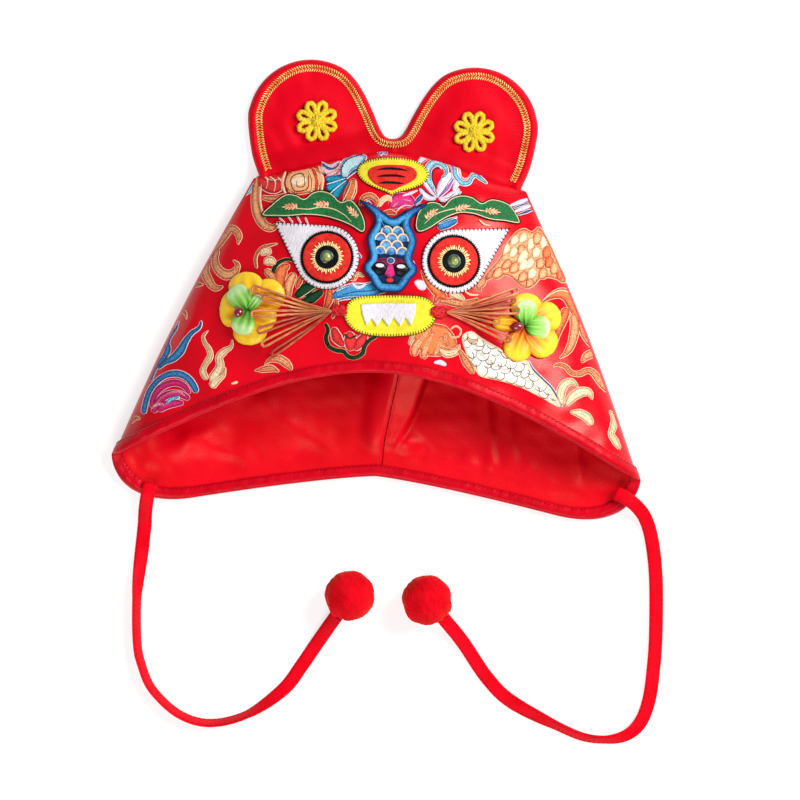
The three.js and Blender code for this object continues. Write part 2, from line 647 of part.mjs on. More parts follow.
function makeWhiskers() {
  const sides = [
    ['left', 'knotLeft', 'flowerLeft', -1, 164, 212],
    ['right', 'knotRight', 'flowerRight', 1, 332, 380],
  ];
  for (const [side, knotName, flowerName, sign, firstAngle, lastAngle] of sides) {
    const knotCentre = placeOf(knotName);
    const knot = ellipse(knotCentre, KNOT_LENGTH, KNOT_WIDTH, 14);
    piece(`whisker_knot_${side}`, draped(knot, GAP, 2.4), RED);
    const head = new THREE.Vector2(knotCentre.x + sign * (KNOT_LENGTH / 2 + GAP + WHISKER_HEAD), knotCentre.y);
    const span = head.distanceTo(placeOf(flowerName)) - FLOWER_BEAD_RADIUS - WHISKER_CLEARANCE;
    const locks = [circle(head, WHISKER_HEAD, 14)];
    for (let i = 0; i < WHISKER_LOCKS; i += 1) {
      const angle = degToRad(lerp(firstAngle, lastAngle, i / (WHISKER_LOCKS - 1)));
      const ahead = new THREE.Vector2(Math.cos(angle), Math.sin(angle));
      const beside = new THREE.Vector2(-ahead.y, ahead.x);
      const point = (along, across) => head.clone().addScaledVector(ahead, along).addScaledVector(beside, across);
      locks.push([
        point(0, -0.8), point(span - 1, -WHISKER_TIP / 2), point(span, 0),
        point(span - 1, WHISKER_TIP / 2), point(0, 0.8),
      ]);
    }
    const fan = locks.map((lock) => prism(lock)).reduce((all, lock) => all.add(lock));
    const area = locks.flat();
    const base = whiskerBase(placeOf(flowerName));
    const cloth = slab(area, (x, y) => base(x, y) + GAP, (x, y) => base(x, y) + GAP + WHISKER_HEIGHT, CELL.small);
    piece(`whisker_tassel_${side}`, cloth.intersect(fan), COPPER);
  }
}

function makeClothFlowers() {
  const small = { cell: CELL.small };
  for (const [side, name, turn] of [['left', 'flowerLeft', 18], ['right', 'flowerRight', 90]]) {
    const centre = placeOf(name);
    const petals = lobed(centre, PETAL_RADIUS, PETAL_COUNT, 0.35, degToRad(turn));
    piece(`flower_petals_${side}`, draped(petals, GAP, PETAL_HEIGHT, small), ORANGE);
    const leaf = lobed(centre, LEAF_RADIUS, 4, 0.5, degToRad(turn), 5);
    piece(`flower_leaf_${side}`, draped(leaf, PETAL_TOP + GAP, LEAF_HEIGHT, small), GREEN);
    const bead = new THREE.SphereGeometry(FLOWER_BEAD_RADIUS, 10, 6);
    const height = satinTop(centre.x, centre.y) + LEAF_TOP + GAP + FLOWER_BEAD_RADIUS;
    bead.translate(centre.x, centre.y, height);
    piece(`flower_bead_${side}`, bead, 0x8c1030, 0.2);
  }
}

// Frames along a curve with their normals turned up
function uprightFrames(curve, segments) {
  const frames = { tangents: [], normals: [], binormals: [] };
  for (let i = 0; i <= segments; i += 1) {
    const tangent = curve.getTangentAt(i / segments);
    const binormal = new THREE.Vector3().crossVectors(tangent, new THREE.Vector3(0, 0, 1)).normalize().negate();
    frames.tangents.push(tangent);
    frames.binormals.push(binormal);
    frames.normals.push(new THREE.Vector3().crossVectors(binormal, tangent));
  }
  return frames;
}

// A flat tie along its route
function makeTie(name, route) {
  const section = new THREE.Shape(ellipse(new THREE.Vector2(), TIE_THICKNESS, TIE_WIDTH, 8));
  const curve = new THREE.CatmullRomCurve3(route.map(([x, y, z]) => new THREE.Vector3(x, y, z)));
  curve.computeFrenetFrames = (segments) => uprightFrames(curve, segments);
  const steps = Math.round(curve.getLength() / (1.2 * TIE_WIDTH));
  const geometry = new THREE.ExtrudeGeometry(section, { steps, extrudePath: curve, bevelEnabled: false });
  piece(name, solid(geometry), RED, 0.5);
}

// A ball of thick pile, its outer form in soft locks
function makePompom(name, [x, y]) {
  const geometry = new THREE.SphereGeometry(POMPOM_RADIUS, 18, 12);
  const position = geometry.attributes.position;
  for (let i = 0; i < position.count; i += 1) {
    const p = new THREE.Vector3().fromBufferAttribute(position, i);
    const turn = Math.atan2(p.y, p.x);
    const level = p.z / POMPOM_RADIUS;
    const lock = Math.cos(POMPOM_LOCKS * turn) * Math.cos(6 * level) * (1 - level ** 4);
    p.multiplyScalar(1 + 0.03 * lock);
    position.setXYZ(i, p.x + x, p.y + y, p.z + POMPOM_RADIUS);
  }
  piece(name, solid(geometry), RED, 0.95);
}

makeBody();
makeEars();
makeForehead();
makeBrows();
makeEyes();
makeNose();
makeMouth();
makeWhiskers();
makeClothFlowers();

// The frame's origin lies under the middle of the hat itself, without its ties
const middle = new THREE.Box3().setFromObject(group).getCenter(new THREE.Vector3());
group.position.set(-middle.x, -middle.y, 0);

makeTie('tie_left', TIE_LEFT);
makeTie('tie_right', TIE_RIGHT);
makePompom('pompom_left', POMPOM_LEFT);
makePompom('pompom_right', POMPOM_RIGHT);

export default group;
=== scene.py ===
"""The looks of a child's tiger hat of padded red satin, lying on its back with its ears towards +Y."""
import math

import bpy
import numpy as np
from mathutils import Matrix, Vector
from mathutils.geometry import delaunay_2d_cdt


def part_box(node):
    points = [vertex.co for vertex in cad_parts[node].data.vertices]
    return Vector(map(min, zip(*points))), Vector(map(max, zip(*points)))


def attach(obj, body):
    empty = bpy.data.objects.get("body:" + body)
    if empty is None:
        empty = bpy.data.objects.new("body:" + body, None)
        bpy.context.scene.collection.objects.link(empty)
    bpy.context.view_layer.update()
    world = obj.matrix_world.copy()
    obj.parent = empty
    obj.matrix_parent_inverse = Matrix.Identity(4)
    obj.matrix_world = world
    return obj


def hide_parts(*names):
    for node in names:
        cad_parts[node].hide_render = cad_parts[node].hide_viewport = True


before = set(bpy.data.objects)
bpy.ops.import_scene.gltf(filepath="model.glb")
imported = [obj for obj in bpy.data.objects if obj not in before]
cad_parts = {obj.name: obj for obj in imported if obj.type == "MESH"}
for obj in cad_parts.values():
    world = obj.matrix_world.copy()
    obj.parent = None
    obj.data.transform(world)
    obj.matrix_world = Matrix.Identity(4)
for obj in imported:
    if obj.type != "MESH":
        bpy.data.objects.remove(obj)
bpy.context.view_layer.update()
MM = 0.001
TURN = 2 * np.pi
rng = np.random.default_rng(11)

# Hat body, in millimetres; the plan's Y is measured as in the part, before the frame's origin is set
HALF = 131.0                # from the middle to the folds' ends at the mouth
CROWN_HALF = 68.0           # from the middle to the crown's corners
FOLD_LENGTH = 141.0
SIDE_BOW = 3.0
CROWN_ARCH = 16.5
CROWN_CURVE = 1.6           # power of the crown's arch
FRONT_ARCH = 47.0
FRONT_CURVE = 1.95          # power of the front hem's arch
REAR_DIP = 4.5
EAR_FLAP_DROP = 23.5
FLAP_CURVE = 1.25
FLAP_CORNER = 0.3           # share of the half width that rounds each flap's corner
PUFF = 34.0                 # the front's rise above the folds
PUFF_ACROSS = (2.3, 0.55)   # powers of the puff's dome across
PUFF_ALONG = 2.6
CALM_PUFF = 12.0            # puff under which the satin's unevenness fades
FOLD_RISE = 8.0
FLAT_SHARE = 0.8            # share of the back, across, that lies flat
SEAM_SHARE = 0.9            # share of the back, along, that lies flat
MOUTH_Y = -90.0
LINING_DEPTH = 2.5          # the lining's face under that of the satin
GAP = 0.3                   # between pieces that are sewn together
HEM_SET = 1.5               # the raw hem inside the binding's fold
FELT_EDGE = 0.5             # width of a felt's rounded edge
BINDING_WIDTH = 5.8
BINDING_CLOTH = 1.0
CROWN_ALLOWANCE = 1.6
EAR_RADIUS = 31.5
EAR_SPREAD = 41.0
EAR_CENTRE_Y = 80.5
EAR_PAD = 5.5
EAR_DROOP = 14.0
EAR_TOP = EAR_CENTRE_Y + EAR_RADIUS
POMPOM_RADIUS = 12.6
POMPOM_FLOOR = 0.05         # the pile's lowest points above the surface
TINY = 1e-9                 # keeps a division away from zero

# Length of the front hem's slope at the folds' ends, over that across
HEM_SLANT = math.hypot(1, FRONT_ARCH * FRONT_CURVE / HALF)

# The frame's origin lies under the middle of the hat: the ears' top gives the shift along Y
SHIFT_Y = EAR_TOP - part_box("ear_pad")[1][1] / MM

# The photograph: 0.5 mm a pixel, turned by a small angle against the hat
PIXEL = 0.5
PHOTO_MIDDLE = (376.0, 287.0)
PHOTO_TURN = math.radians(2.8)
PHOTO_OFFSET_X = -4.5
PHOTO_SIZE = 800
CAMERA_HEIGHT = 3.0
SENSOR = 36
FAR_CLIP = 20


def plan(px, py):
    """A pixel of the photograph as a plan point of the hat, in millimetres."""
    x = (px - PHOTO_MIDDLE[0]) * PIXEL
    y = (PHOTO_MIDDLE[1] - py) * PIXEL
    cos, sin = math.cos(PHOTO_TURN), math.sin(PHOTO_TURN)
    return np.array([cos * x - sin * y + PHOTO_OFFSET_X, sin * x + cos * y])


def plans(points):
    return np.array([plan(*p) for p in points])


def camera():
    centre = plan(PHOTO_SIZE / 2, PHOTO_SIZE / 2)
    data = bpy.data.cameras.new("camera")
    data.sensor_width = SENSOR
    data.lens = SENSOR * CAMERA_HEIGHT / (PHOTO_SIZE * PIXEL * MM)
    data.clip_end = FAR_CLIP
    eye = bpy.data.objects.new("camera", data)
    eye.location = (centre[0] * MM, (centre[1] - SHIFT_Y) * MM, CAMERA_HEIGHT)
    eye.rotation_euler = (0, 0, PHOTO_TURN)
    bpy.context.scene.collection.objects.link(eye)
    bpy.context.scene.camera = eye


# Surface of the hat. A share is a place across it, from -1 at the left fold to 1 at the right one

def smoothstep(x, low, high):
    """From 0 at the low value to 1 at the high one, with soft ends."""
    t = np.clip((x - low) / (high - low), 0, 1)
    return t * t * (3 - 2 * t)


def fold_half(y):
    """Half the hat's width between its side folds."""
    run = np.maximum(0, (y - MOUTH_Y) / FOLD_LENGTH)
    return HALF + (CROWN_HALF - HALF) * run + SIDE_BOW * np.sin(np.pi * run)


def crown_y(share):
    """The crown seam's Y."""
    return MOUTH_Y + FOLD_LENGTH + CROWN_ARCH * (1 - np.abs(share) ** CROWN_CURVE)


def seam_y(share, depth):
    """The crown seam of a layer at a depth under the satin."""
    return crown_y(share) - CROWN_ALLOWANCE * depth


def front_hem(share, inset=0.0):
    """The front hem, or a line at an inset from it."""
    s = np.abs(share)
    slope = FRONT_ARCH * FRONT_CURVE * s ** (FRONT_CURVE - 1) / HALF
    return MOUTH_Y + FRONT_ARCH * (1 - s ** FRONT_CURVE) + inset * np.hypot(1, slope)


def flap_rounding(share):
    """How far a rear flap's corner is still from being rounded off, from 1 down to 0 at the fold."""
    corner = np.maximum(0, (np.abs(share) - 1 + FLAP_CORNER) / FLAP_CORNER)
    return np.sqrt(np.maximum(0, 1 - corner ** 2))


def rear_hem(share, inset=0.0):
    """The rear hem with its two flaps, or a line at an inset from it."""
    drop = REAR_DIP + EAR_FLAP_DROP * np.abs(share) ** FLAP_CURVE
    turned = flap_rounding(share)
    return MOUTH_Y - drop * turned + inset * (HEM_SLANT - (HEM_SLANT - 1) * turned)


def waves(x, y, length, seed, count=7):
    """Smooth noise between about -1 and 1 with the given wavelength."""
    source = np.random.default_rng(seed)
    total = 0.0
    for _ in range(count):
        angle = source.uniform(0, TURN)
        k = TURN / (length * source.uniform(0.7, 1.4))
        way = x * np.cos(angle) + y * np.sin(angle)
        total = total + np.sin(k * way + source.uniform(0, TURN))
    return total / count ** 0.5 * 0.8


def satin_relief(x, y):
    """Soft unevenness of the padded satin, in millimetres."""
    return 1.05 * waves(x, y, 44, 3) + 0.26 * waves(x, y, 17, 5)


def front_z(share, y, depth=0.0):
    """Height of the front, or of a layer at a depth under it."""
    hem = front_hem(share)
    along = np.clip((y - hem) / (seam_y(share, depth) - hem), 0, 1)
    across = np.maximum(0, 1 - np.abs(share) ** PUFF_ACROSS[0]) ** PUFF_ACROSS[1]
    puff = PUFF * across * np.sqrt(np.maximum(0, 1 - along ** PUFF_ALONG))
    calm = np.minimum(1, puff / CALM_PUFF)
    return FOLD_RISE + puff * (PUFF - depth) / PUFF + calm * satin_relief(share * fold_half(y), y)


def rear_z(share, y, depth=0.0):
    """Height of the back as it lies, or of a layer at a depth above it."""
    hem = rear_hem(share)
    along = (y - hem) / (seam_y(share, depth) - hem)
    side = np.maximum(0, (np.abs(share) - FLAT_SHARE) / (1 - FLAT_SHARE))
    end = np.clip((along - SEAM_SHARE) / (1 - SEAM_SHARE), 0, 1)
    turn = 1 - np.sqrt(np.maximum(0, 1 - side ** 2) * np.maximum(0, 1 - end ** 2))
    inset = (y - hem) / (HEM_SLANT - (HEM_SLANT - 1) * flap_rounding(share))
    lift = (BINDING_CLOTH + GAP) * (1 - smoothstep(inset, BINDING_WIDTH + 1, 2.4 * BINDING_WIDTH))
    base = depth + lift
    return base + (FOLD_RISE - base) * turn


def top(x, y):
    """Height of the satin's face over a plan point."""
    x, y = np.asarray(x, float), np.asarray(y, float)
    share = np.clip(x / fold_half(y), -1, 1)
    return front_z(share, y)


# Meshes

class Bag:
    """Points, faces and UVs that end up in one piece."""

    def __init__(self):
        self.points, self.faces, self.uvs, self.count = [], [], [], 0

    def add(self, points, faces, uv=None):
        points = np.asarray(points, float).reshape(-1, 3)
        uv = points[:, :2] if uv is None else np.asarray(uv, float).reshape(-1, 2)
        self.points.append(points)
        self.uvs.append(uv)
        self.faces.extend([tuple(int(i) + self.count for i in f) for f in faces])
        self.count += len(points)

    def build(self, name, finish, slot, replaces=()):
        points = np.concatenate(self.points)
        uvs = np.concatenate(self.uvs)
        world = points * MM
        world[:, 1] -= SHIFT_Y * MM
        mesh = bpy.data.meshes.new(name)
        mesh.from_pydata([tuple(p) for p in world], [], self.faces)
        layer = mesh.uv_layers.new(name="uv")
        index = np.empty(len(mesh.loops), dtype=np.int32)
        mesh.loops.foreach_get("vertex_index", index)
        layer.data.foreach_set("uv", uvs[index].astype(np.float32).ravel())
        mesh.polygons.foreach_set("use_smooth", np.ones(len(mesh.polygons), dtype=bool))
        mesh.update()
        piece = bpy.data.objects.new(name, mesh)
        piece.data.materials.append(finish)
        bpy.context.scene.collection.objects.link(piece)
        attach(piece, "root")
        if replaces:
            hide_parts(*replaces)
        return piece


def grid_faces(rows, columns, closed=False, flip=False):
    """Quads over a grid of points in rows; closed joins each row's end to its start."""
    last = columns if closed else columns - 1
    r, c = np.meshgrid(np.arange(rows - 1), np.arange(last), indexing="ij")
    n = (c + 1) % columns
    quads = np.stack([r * columns + c, r * columns + n, (r + 1) * columns + n, (r + 1) * columns + c], -1)
    quads = quads.reshape(-1, 4)
    return quads[:, ::-1] if flip else quads


def tube_faces(rows, sides):
    """The wall and both ends of a tube whose points lie in rows round it."""
    faces = [tuple(f) for f in grid_faces(rows, sides, closed=True, flip=True)]
    faces.append(tuple(range(sides)))
    faces.append(tuple((rows - 1) * sides + i for i in reversed(range(sides))))
    return faces


RING_CROWDING = 1.7


def pocket_ring(front_line, rear_line, depth, columns):
    """Points round the pocket, across the front and back along the rear; columns are those of each."""
    share = -np.cos(np.pi * np.linspace(0, 1, columns[0] + 1))
    y = front_line(share)
    front = np.stack([share * (fold_half(y) - depth), y, front_z(share, y, depth)], -1)
    share = np.cos(np.pi * np.linspace(0, 1, columns[1] + 1)[1:-1])
    y = rear_line(share)
    rear = np.stack([share * (fold_half(y) - depth), y, rear_z(share, y, depth)], -1)
    return np.concatenate([front, rear])


def pocket(depth, rows, columns):
    """The pocket's rings from the hem to the crown, closer together near the crown."""
    rings = []
    for row in range(rows + 1):
        along = 1 - (1 - row / rows) ** RING_CROWDING
        rings.append(pocket_ring(
            lambda s, a=along: front_hem(s, HEM_SET) * (1 - a) + seam_y(s, depth) * a,
            lambda s, a=along: rear_hem(s, HEM_SET) * (1 - a) + seam_y(s, depth) * a,
            depth, columns,
        ))
    return np.array(rings)


def catmull(points, count, closed=False):
    """A smooth line through points, with even steps along its length."""
    points = np.asarray(points, float)
    if closed:
        ext = np.concatenate([points[-1:], points, points[:2]])
    else:
        ext = np.concatenate([2 * points[:1] - points[1:2], points, 2 * points[-1:] - points[-2:-1]])
    fine = []
    for i in range(1, len(ext) - 2):
        p0, p1, p2, p3 = ext[i - 1:i + 3]
        t = np.linspace(0, 1, 24, endpoint=False)[:, None]
        fine.append(0.5 * (2 * p1 + (p2 - p0) * t + (2 * p0 - 5 * p1 + 4 * p2 - p3) * t ** 2
                           + (3 * p1 - p0 - 3 * p2 + p3) * t ** 3))
    fine.append(ext[-2][None])
    return resample(np.concatenate(fine), count, closed)


def run_along(line):
    """The length from a line's start to each of its points."""
    return np.concatenate([[0], np.cumsum(np.linalg.norm(np.diff(line, axis=0), axis=1))])


def resample(line, count, closed=False):
    """A line's points at even steps along it."""
    length = run_along(line)
    at = np.linspace(0, length[-1], count + 1 if closed else count)
    if closed:
        at = at[:-1]
    return np.stack([np.interp(at, length, line[:, k]) for k in range(line.shape[1])], -1)


def line_length(line):
    return float(run_along(line)[-1])


def tangents(path):
    ahead = np.gradient(path, axis=0)
    return ahead / np.maximum(np.linalg.norm(ahead, axis=1, keepdims=True), TINY)


def leftward(ahead):
    """Plan directions turned left by a quarter."""
    return np.stack([-ahead[..., 1], ahead[..., 0]], -1)


def around(ahead, sides):
    """The level and the upright direction beside each direction, and the angles round it."""
    side = np.cross(ahead, [0, 0, 1.0])
    side /= np.maximum(np.linalg.norm(side, axis=1, keepdims=True), TINY)
    angle = TURN * np.arange(sides) / sides
    return side, np.cross(side, ahead), angle


def rounding(t):
    """A quarter circle's height, from 0 where t is 0 to 1 where t is 1 or more."""
    return np.sqrt(1 - (1 - np.minimum(t, 1)) ** 2)


def rejoined(line):
    """A closed line with its first point again at its end."""
    return np.concatenate([line, line[:1]])


def heading(angle):
    return np.array([math.cos(angle), math.sin(angle)])


def tube(bag, path, radius, sides=6):
    """A closed tube round a path."""
    path = np.asarray(path, float)
    radius = np.broadcast_to(np.asarray(radius, float), len(path))
    side, up, angle = around(tangents(path), sides)
    ring = side[:, None] * np.cos(angle)[None, :, None] + up[:, None] * np.sin(angle)[None, :, None]
    points = path[:, None] + ring * radius[:, None, None]
    run = run_along(path)
    uv = np.stack(np.broadcast_arrays(run[:, None], (angle / TURN)[None]), -1)
    bag.add(points, tube_faces(len(path), sides), uv)


# Places along a stitch, and the share of its radius there
STITCH_RUN = np.array([0, 0.12, 0.5, 0.88, 1.0])
STITCH_SWELL = np.array([0.35, 0.9, 1.0, 0.9, 0.35])


def capsules(bag, starts, ends, radius, sides=6, bow=0.0):
    """Short stitches with rounded ends, bowed up in the middle."""
    starts, ends = np.asarray(starts, float), np.asarray(ends, float)
    ahead = ends - starts
    ahead /= np.maximum(np.linalg.norm(ahead, axis=1, keepdims=True), TINY)
    side, up, angle = around(ahead, sides)
    middle = starts[:, None] + (ends - starts)[:, None] * STITCH_RUN[None, :, None]
    middle[:, :, 2] += bow * np.sin(np.pi * STITCH_RUN)[None]
    ring = side[:, None] * np.cos(angle)[None, :, None] + up[:, None] * np.sin(angle)[None, :, None]
    points = middle[:, :, None] + ring[:, None] * (radius * STITCH_SWELL)[:, None, None]
    faces = tube_faces(len(STITCH_RUN), sides)
    for block in points:
        bag.add(block, faces)


def ball(bag, centre, radius, scale, sides=20, rings=12):
    polar = np.linspace(0, np.pi, rings + 1)[:, None]
    angle = TURN * np.arange(sides) / sides
    unit = np.stack(np.broadcast_arrays(
        np.sin(polar) * np.cos(angle), np.sin(polar) * np.sin(angle), np.cos(polar),
    ), -1)
    points = unit * radius * np.asarray(scale) + np.asarray(centre)
    bag.add(points, grid_faces(rings + 1, sides, closed=True, flip=True))


def nearest(points, outline):
    """Distance from each point to a closed outline, and the arc length of the nearest place on it."""
    start, end = outline, np.roll(outline, -1, axis=0)
    edge = end - start
    size = np.maximum((edge ** 2).sum(1), 1e-12)
    rel = points[:, None] - start[None]
    t = np.clip((rel * edge[None]).sum(2) / size[None], 0, 1)
    gap = np.linalg.norm(rel - t[:, :, None] * edge[None], axis=2)
    best = gap.argmin(1)
    run = np.concatenate([[0], np.cumsum(np.sqrt(size))])
    row = np.arange(len(points))
    return gap[row, best], run[best] + t[row, best] * np.sqrt(size)[best]


def twice_area(outline):
    """Twice an outline's area, positive where it runs to the left."""
    x, y = outline.T
    return np.sum(x * np.roll(y, -1) - np.roll(x, -1) * y)


def inward(outline, amount):
    """The outline moved inwards by an amount."""
    ahead = np.roll(outline, -1, axis=0) - np.roll(outline, 1, axis=0)
    ahead /= np.maximum(np.linalg.norm(ahead, axis=1, keepdims=True), TINY)
    return outline + leftward(ahead) * (amount if twice_area(outline) > 0 else -amount)


def inside(points, outline):
    """Whether each point lies inside an outline."""
    x, y = points[:, 0][:, None], points[:, 1][:, None]
    x1, y1 = outline[:, 0][None], outline[:, 1][None]
    x2, y2 = np.roll(outline[:, 0], -1)[None], np.roll(outline[:, 1], -1)[None]
    crossing_x = (x2 - x1) * (y - y1) / np.where(y2 == y1, TINY, y2 - y1) + x1
    crosses = ((y1 > y) != (y2 > y)) & (x < crossing_x)
    return crosses.sum(1) % 2 == 1


FELT_RINGS = (0.12, 0.35, 0.8)
RIM = 1e-4                  # distance to the outline under which a point lies on it


def patch(bag, outline, height, bottom, spacing, rings=FELT_RINGS):
    """A draped piece with a plan outline between bottom(x, y) and height(x, y, way to the edge).

    Its top has points on rings at insets from the outline, and further in on a lattice."""
    outline = np.asarray(outline, float)
    low, high = outline.min(0), outline.max(0)
    gx = np.arange(low[0], high[0], spacing)
    gy = np.arange(low[1], high[1], spacing * 0.87)
    xs, ys = np.meshgrid(gx, gy)
    xs = xs + (np.arange(len(gy)) % 2)[:, None] * spacing / 2
    free = np.stack([xs.ravel(), ys.ravel()], -1)
    free = free[inside(free, outline)]
    if len(free):
        free = free[nearest(free, outline)[0] > rings[-1] + 0.45 * spacing]
    for ring in rings:
        line = inward(outline, ring)
        ok = inside(line, outline)
        if ok.any():
            line = line[ok]
            free = np.concatenate([free, line[nearest(line, outline)[0] > 0.85 * ring]])
    count = len(outline)
    every = np.concatenate([outline, free])
    edges = [(i, (i + 1) % count) for i in range(count)]
    result = delaunay_2d_cdt([Vector(p) for p in every], edges, [], 1, 1e-5)
    flat = np.array([tuple(v) for v in result[0]])
    triangles = np.array([tuple(f) for f in result[2]])
    d, run = nearest(flat, outline)
    d = np.where(d < RIM, 0, d)
    z = height(flat[:, 0], flat[:, 1], d)
    bag.add(np.column_stack([flat, z]), triangles, np.column_stack([run, d]))
    rim_top = np.column_stack([outline, height(outline[:, 0], outline[:, 1], np.zeros(count))])
    rim_low = np.column_stack([outline, bottom(outline[:, 0], outline[:, 1])])
    wall = grid_faces(2, count, closed=True, flip=twice_area(outline) < 0)
    run = run_along(outline)
    uv = np.concatenate([np.column_stack([run, np.full(count, way)]) for way in (0.0, -1.0)])
    bag.add(np.concatenate([rim_low, rim_top]), wall, uv)


def felt(bag, outline, lift, thickness, spacing):
    """A felt or cloth piece with a rounded edge, laid on the satin."""
    def height(x, y, d):
        return top(x, y) + lift + thickness * (0.35 + 0.65 * rounding(d / FELT_EDGE))
    patch(bag, outline, height, lambda x, y: top(x, y) + lift, spacing)


def felt_piece(name, outline, lift, thickness, spacing, finish, slot, replaces=()):
    bag = Bag()
    felt(bag, outline, lift, thickness, spacing)
    return bag.build(name, finish, slot, replaces)


def circle(centre, radius, count):
    """A circle, or an ellipse where the radius is a pair."""
    angle = TURN * np.arange(count) / count
    return np.asarray(centre) + np.stack([np.cos(angle), np.sin(angle)], -1) * radius


def drape(line, lift, surface=top):
    """A plan line laid on a surface, or above it by a lift."""
    line = np.asarray(line, float)
    return np.column_stack([line[:, :2], surface(line[:, 0], line[:, 1]) + lift])


def stroke(bag, centre_line, widths, lift, dome, across=6, step=0.6, surface=top):
    """An embroidered stroke: a domed strip along a line, with its widths spread evenly along it."""
    count = max(6, int(line_length(np.asarray(centre_line, float)) * 1.1 / step))
    line = catmull(centre_line, count)
    width = np.interp(np.linspace(0, 1, len(line)), np.linspace(0, 1, len(widths)), widths)
    run = run_along(line)
    from_end = np.minimum(run, run[-1] - run) / np.maximum(0.5 * width, 0.1)
    width = np.maximum(width * rounding(from_end), 0.12)
    beside = leftward(tangents(line))
    v = np.linspace(-1, 1, across + 1)
    xy = line[:, None] + beside[:, None] * (v[None, :, None] * width[:, None, None] / 2)
    reach = 0.985 * fold_half(xy[..., 1])
    xy[..., 0] = np.clip(xy[..., 0], -reach, reach)
    z = surface(xy[..., 0], xy[..., 1]) + lift + dome * np.sqrt(1 - 0.98 * v[None] ** 2)
    z = z - (np.abs(v) > 0.99)[None] * (lift + 0.05)
    uv = np.stack(np.broadcast_arrays(run[:, None], (1 - np.abs(v[None])) * width[:, None] / 2), -1)
    bag.add(np.concatenate([xy, z[..., None]], -1), grid_faces(len(line), across + 1, flip=True), uv)


# Materials

class Finish:
    """A material in the making: its nodes, and the shader that they end in."""

    def __init__(self, name, roughness, specular):
        self.material = bpy.data.materials.new(name)
        self.material.use_nodes = True
        self.tree = self.material.node_tree
        self.shader = self.tree.nodes["Principled BSDF"]
        self.set(self.shader, {"Roughness": roughness, "Specular IOR Level": specular})
        place = self.node("TexCoord")
        self.object, self.uv = place.outputs["Object"], place.outputs["UV"]

    def set(self, node, inputs):
        """Gives a node's inputs values, or links them to other nodes' outputs."""
        for name, value in inputs.items():
            if isinstance(value, bpy.types.NodeSocket):
                self.tree.links.new(value, node.inputs[name])
            else:
                node.inputs[name].default_value = value

    def node(self, kind, inputs=None, **settings):
        node = self.tree.nodes.new(f"ShaderNode{kind}")
        for name, value in settings.items():
            setattr(node, name, value)
        self.set(node, inputs or {})
        return node

    def noise(self, vector, scale, detail=2):
        return self.node("TexNoise", {"Vector": vector, "Scale": scale, "Detail": detail}).outputs["Fac"]

    def math(self, operation, *values):
        node = self.node("Math", operation=operation)
        self.set(node, dict(enumerate(values)))
        return node.outputs["Value"]

    def ramp(self, fac, stops):
        node = self.node("ValToRGB", {"Fac": fac})
        while len(node.color_ramp.elements) < len(stops):
            node.color_ramp.elements.new(0.5)
        for element, (place, color) in zip(node.color_ramp.elements, stops):
            element.position = place
            element.color = (*color, 1)
        return node.outputs["Color"]

    def mix(self, factor, first, second):
        node = self.node("Mix", data_type="RGBA")
        self.set(node, {"A": (*first, 1), "Factor": factor, "B": second})
        return node.outputs["Result"]

    def bump(self, height, distance, normal=None):
        inputs = {"Height": height, "Distance": distance}
        if normal:
            inputs["Normal"] = normal
        return self.node("Bump", inputs).outputs["Normal"]

    def finished(self, color, normal):
        self.set(self.shader, {"Base Color": color, "Normal": normal})
        return self.material


def cloth(name, dark, light, *, roughness=0.7, specular=0.2, tint=(1, 1, 1), sheen=0.0, sheen_tint=(1, 1, 1),
          coat=0.0, mottle=60.0, weave=1400.0, weave_depth=0.00012, thread=None, thread_depth=0.00025):
    """A cloth: mottled colour, fine weave, and threads by the piece's UV in millimetres."""
    make = Finish(name, roughness, specular)
    make.set(make.shader, {
        "Specular Tint": (*tint, 1), "Sheen Weight": sheen, "Sheen Roughness": 0.4,
        "Sheen Tint": (*sheen_tint, 1), "Coat Weight": coat, "Coat Roughness": 0.3,
    })
    color = make.ramp(make.noise(make.object, mottle, 4), [(0.3, dark), (0.7, light)])
    normal = make.bump(make.noise(make.object, weave), weave_depth)
    if thread:
        scale, thread_color, share = thread
        mapping = make.node("Mapping", {"Vector": make.uv, "Scale": (*scale, 1)})
        lines = make.noise(mapping.outputs["Vector"], 1.0, 1.5)
        low = 0.5 - share / 2
        mask = make.ramp(lines, [(low - 0.06, (0, 0, 0)), (low + 0.1, (1, 1, 1))])
        color = make.mix(mask, thread_color, color)
        normal = make.bump(lines, thread_depth, normal)
    return make.finished(color, normal)


def glossy(name, dark, light):
    return cloth(name, dark, light, roughness=0.15, specular=0.6, coat=0.6, mottle=300, weave=500,
                 weave_depth=0.00002)


def embroidery(name, dark, light, edge, line, edge_width, line_width=0.3):
    """Satin stitch: fine threads, an edge thread, a line inside it and a painted highlight towards each
    stroke's middle; UV's Y is the way to the edge.
    """
    make = Finish(name, 0.45, 0.14)
    to_edge = make.node("SeparateXYZ", {"Vector": make.uv}).outputs["Y"]
    mapping = make.node("Mapping", {"Vector": make.uv, "Scale": (2.6, 0.7, 1)})
    threads = make.noise(mapping.outputs["Vector"], 1.0)
    # Painted highlight: the tone lightens from the edge threads towards each stroke's middle, standing in for
    # light on its dome
    middle = make.node("MapRange", {
        "Value": to_edge, "From Min": edge_width + line_width, "From Max": edge_width + line_width + 1.6,
        "To Min": -0.14, "To Max": 0.16,
    })
    tone_with_painted_highlight = make.math("ADD", threads, middle.outputs["Result"])
    color = make.ramp(tone_with_painted_highlight, [(0.41, dark), (0.60, light)])
    for tint, low, high in ((line, edge_width + line_width * 0.7, edge_width + line_width * 1.3),
                            (edge, edge_width * 0.8, edge_width * 1.1)):
        rim = make.node("MapRange", {"Value": to_edge, "From Min": low, "From Max": high})
        color = make.mix(rim.outputs["Result"], tint, color)
    return make.finished(color, make.bump(threads, 0.0005))


PETAL_GATHERS = 3


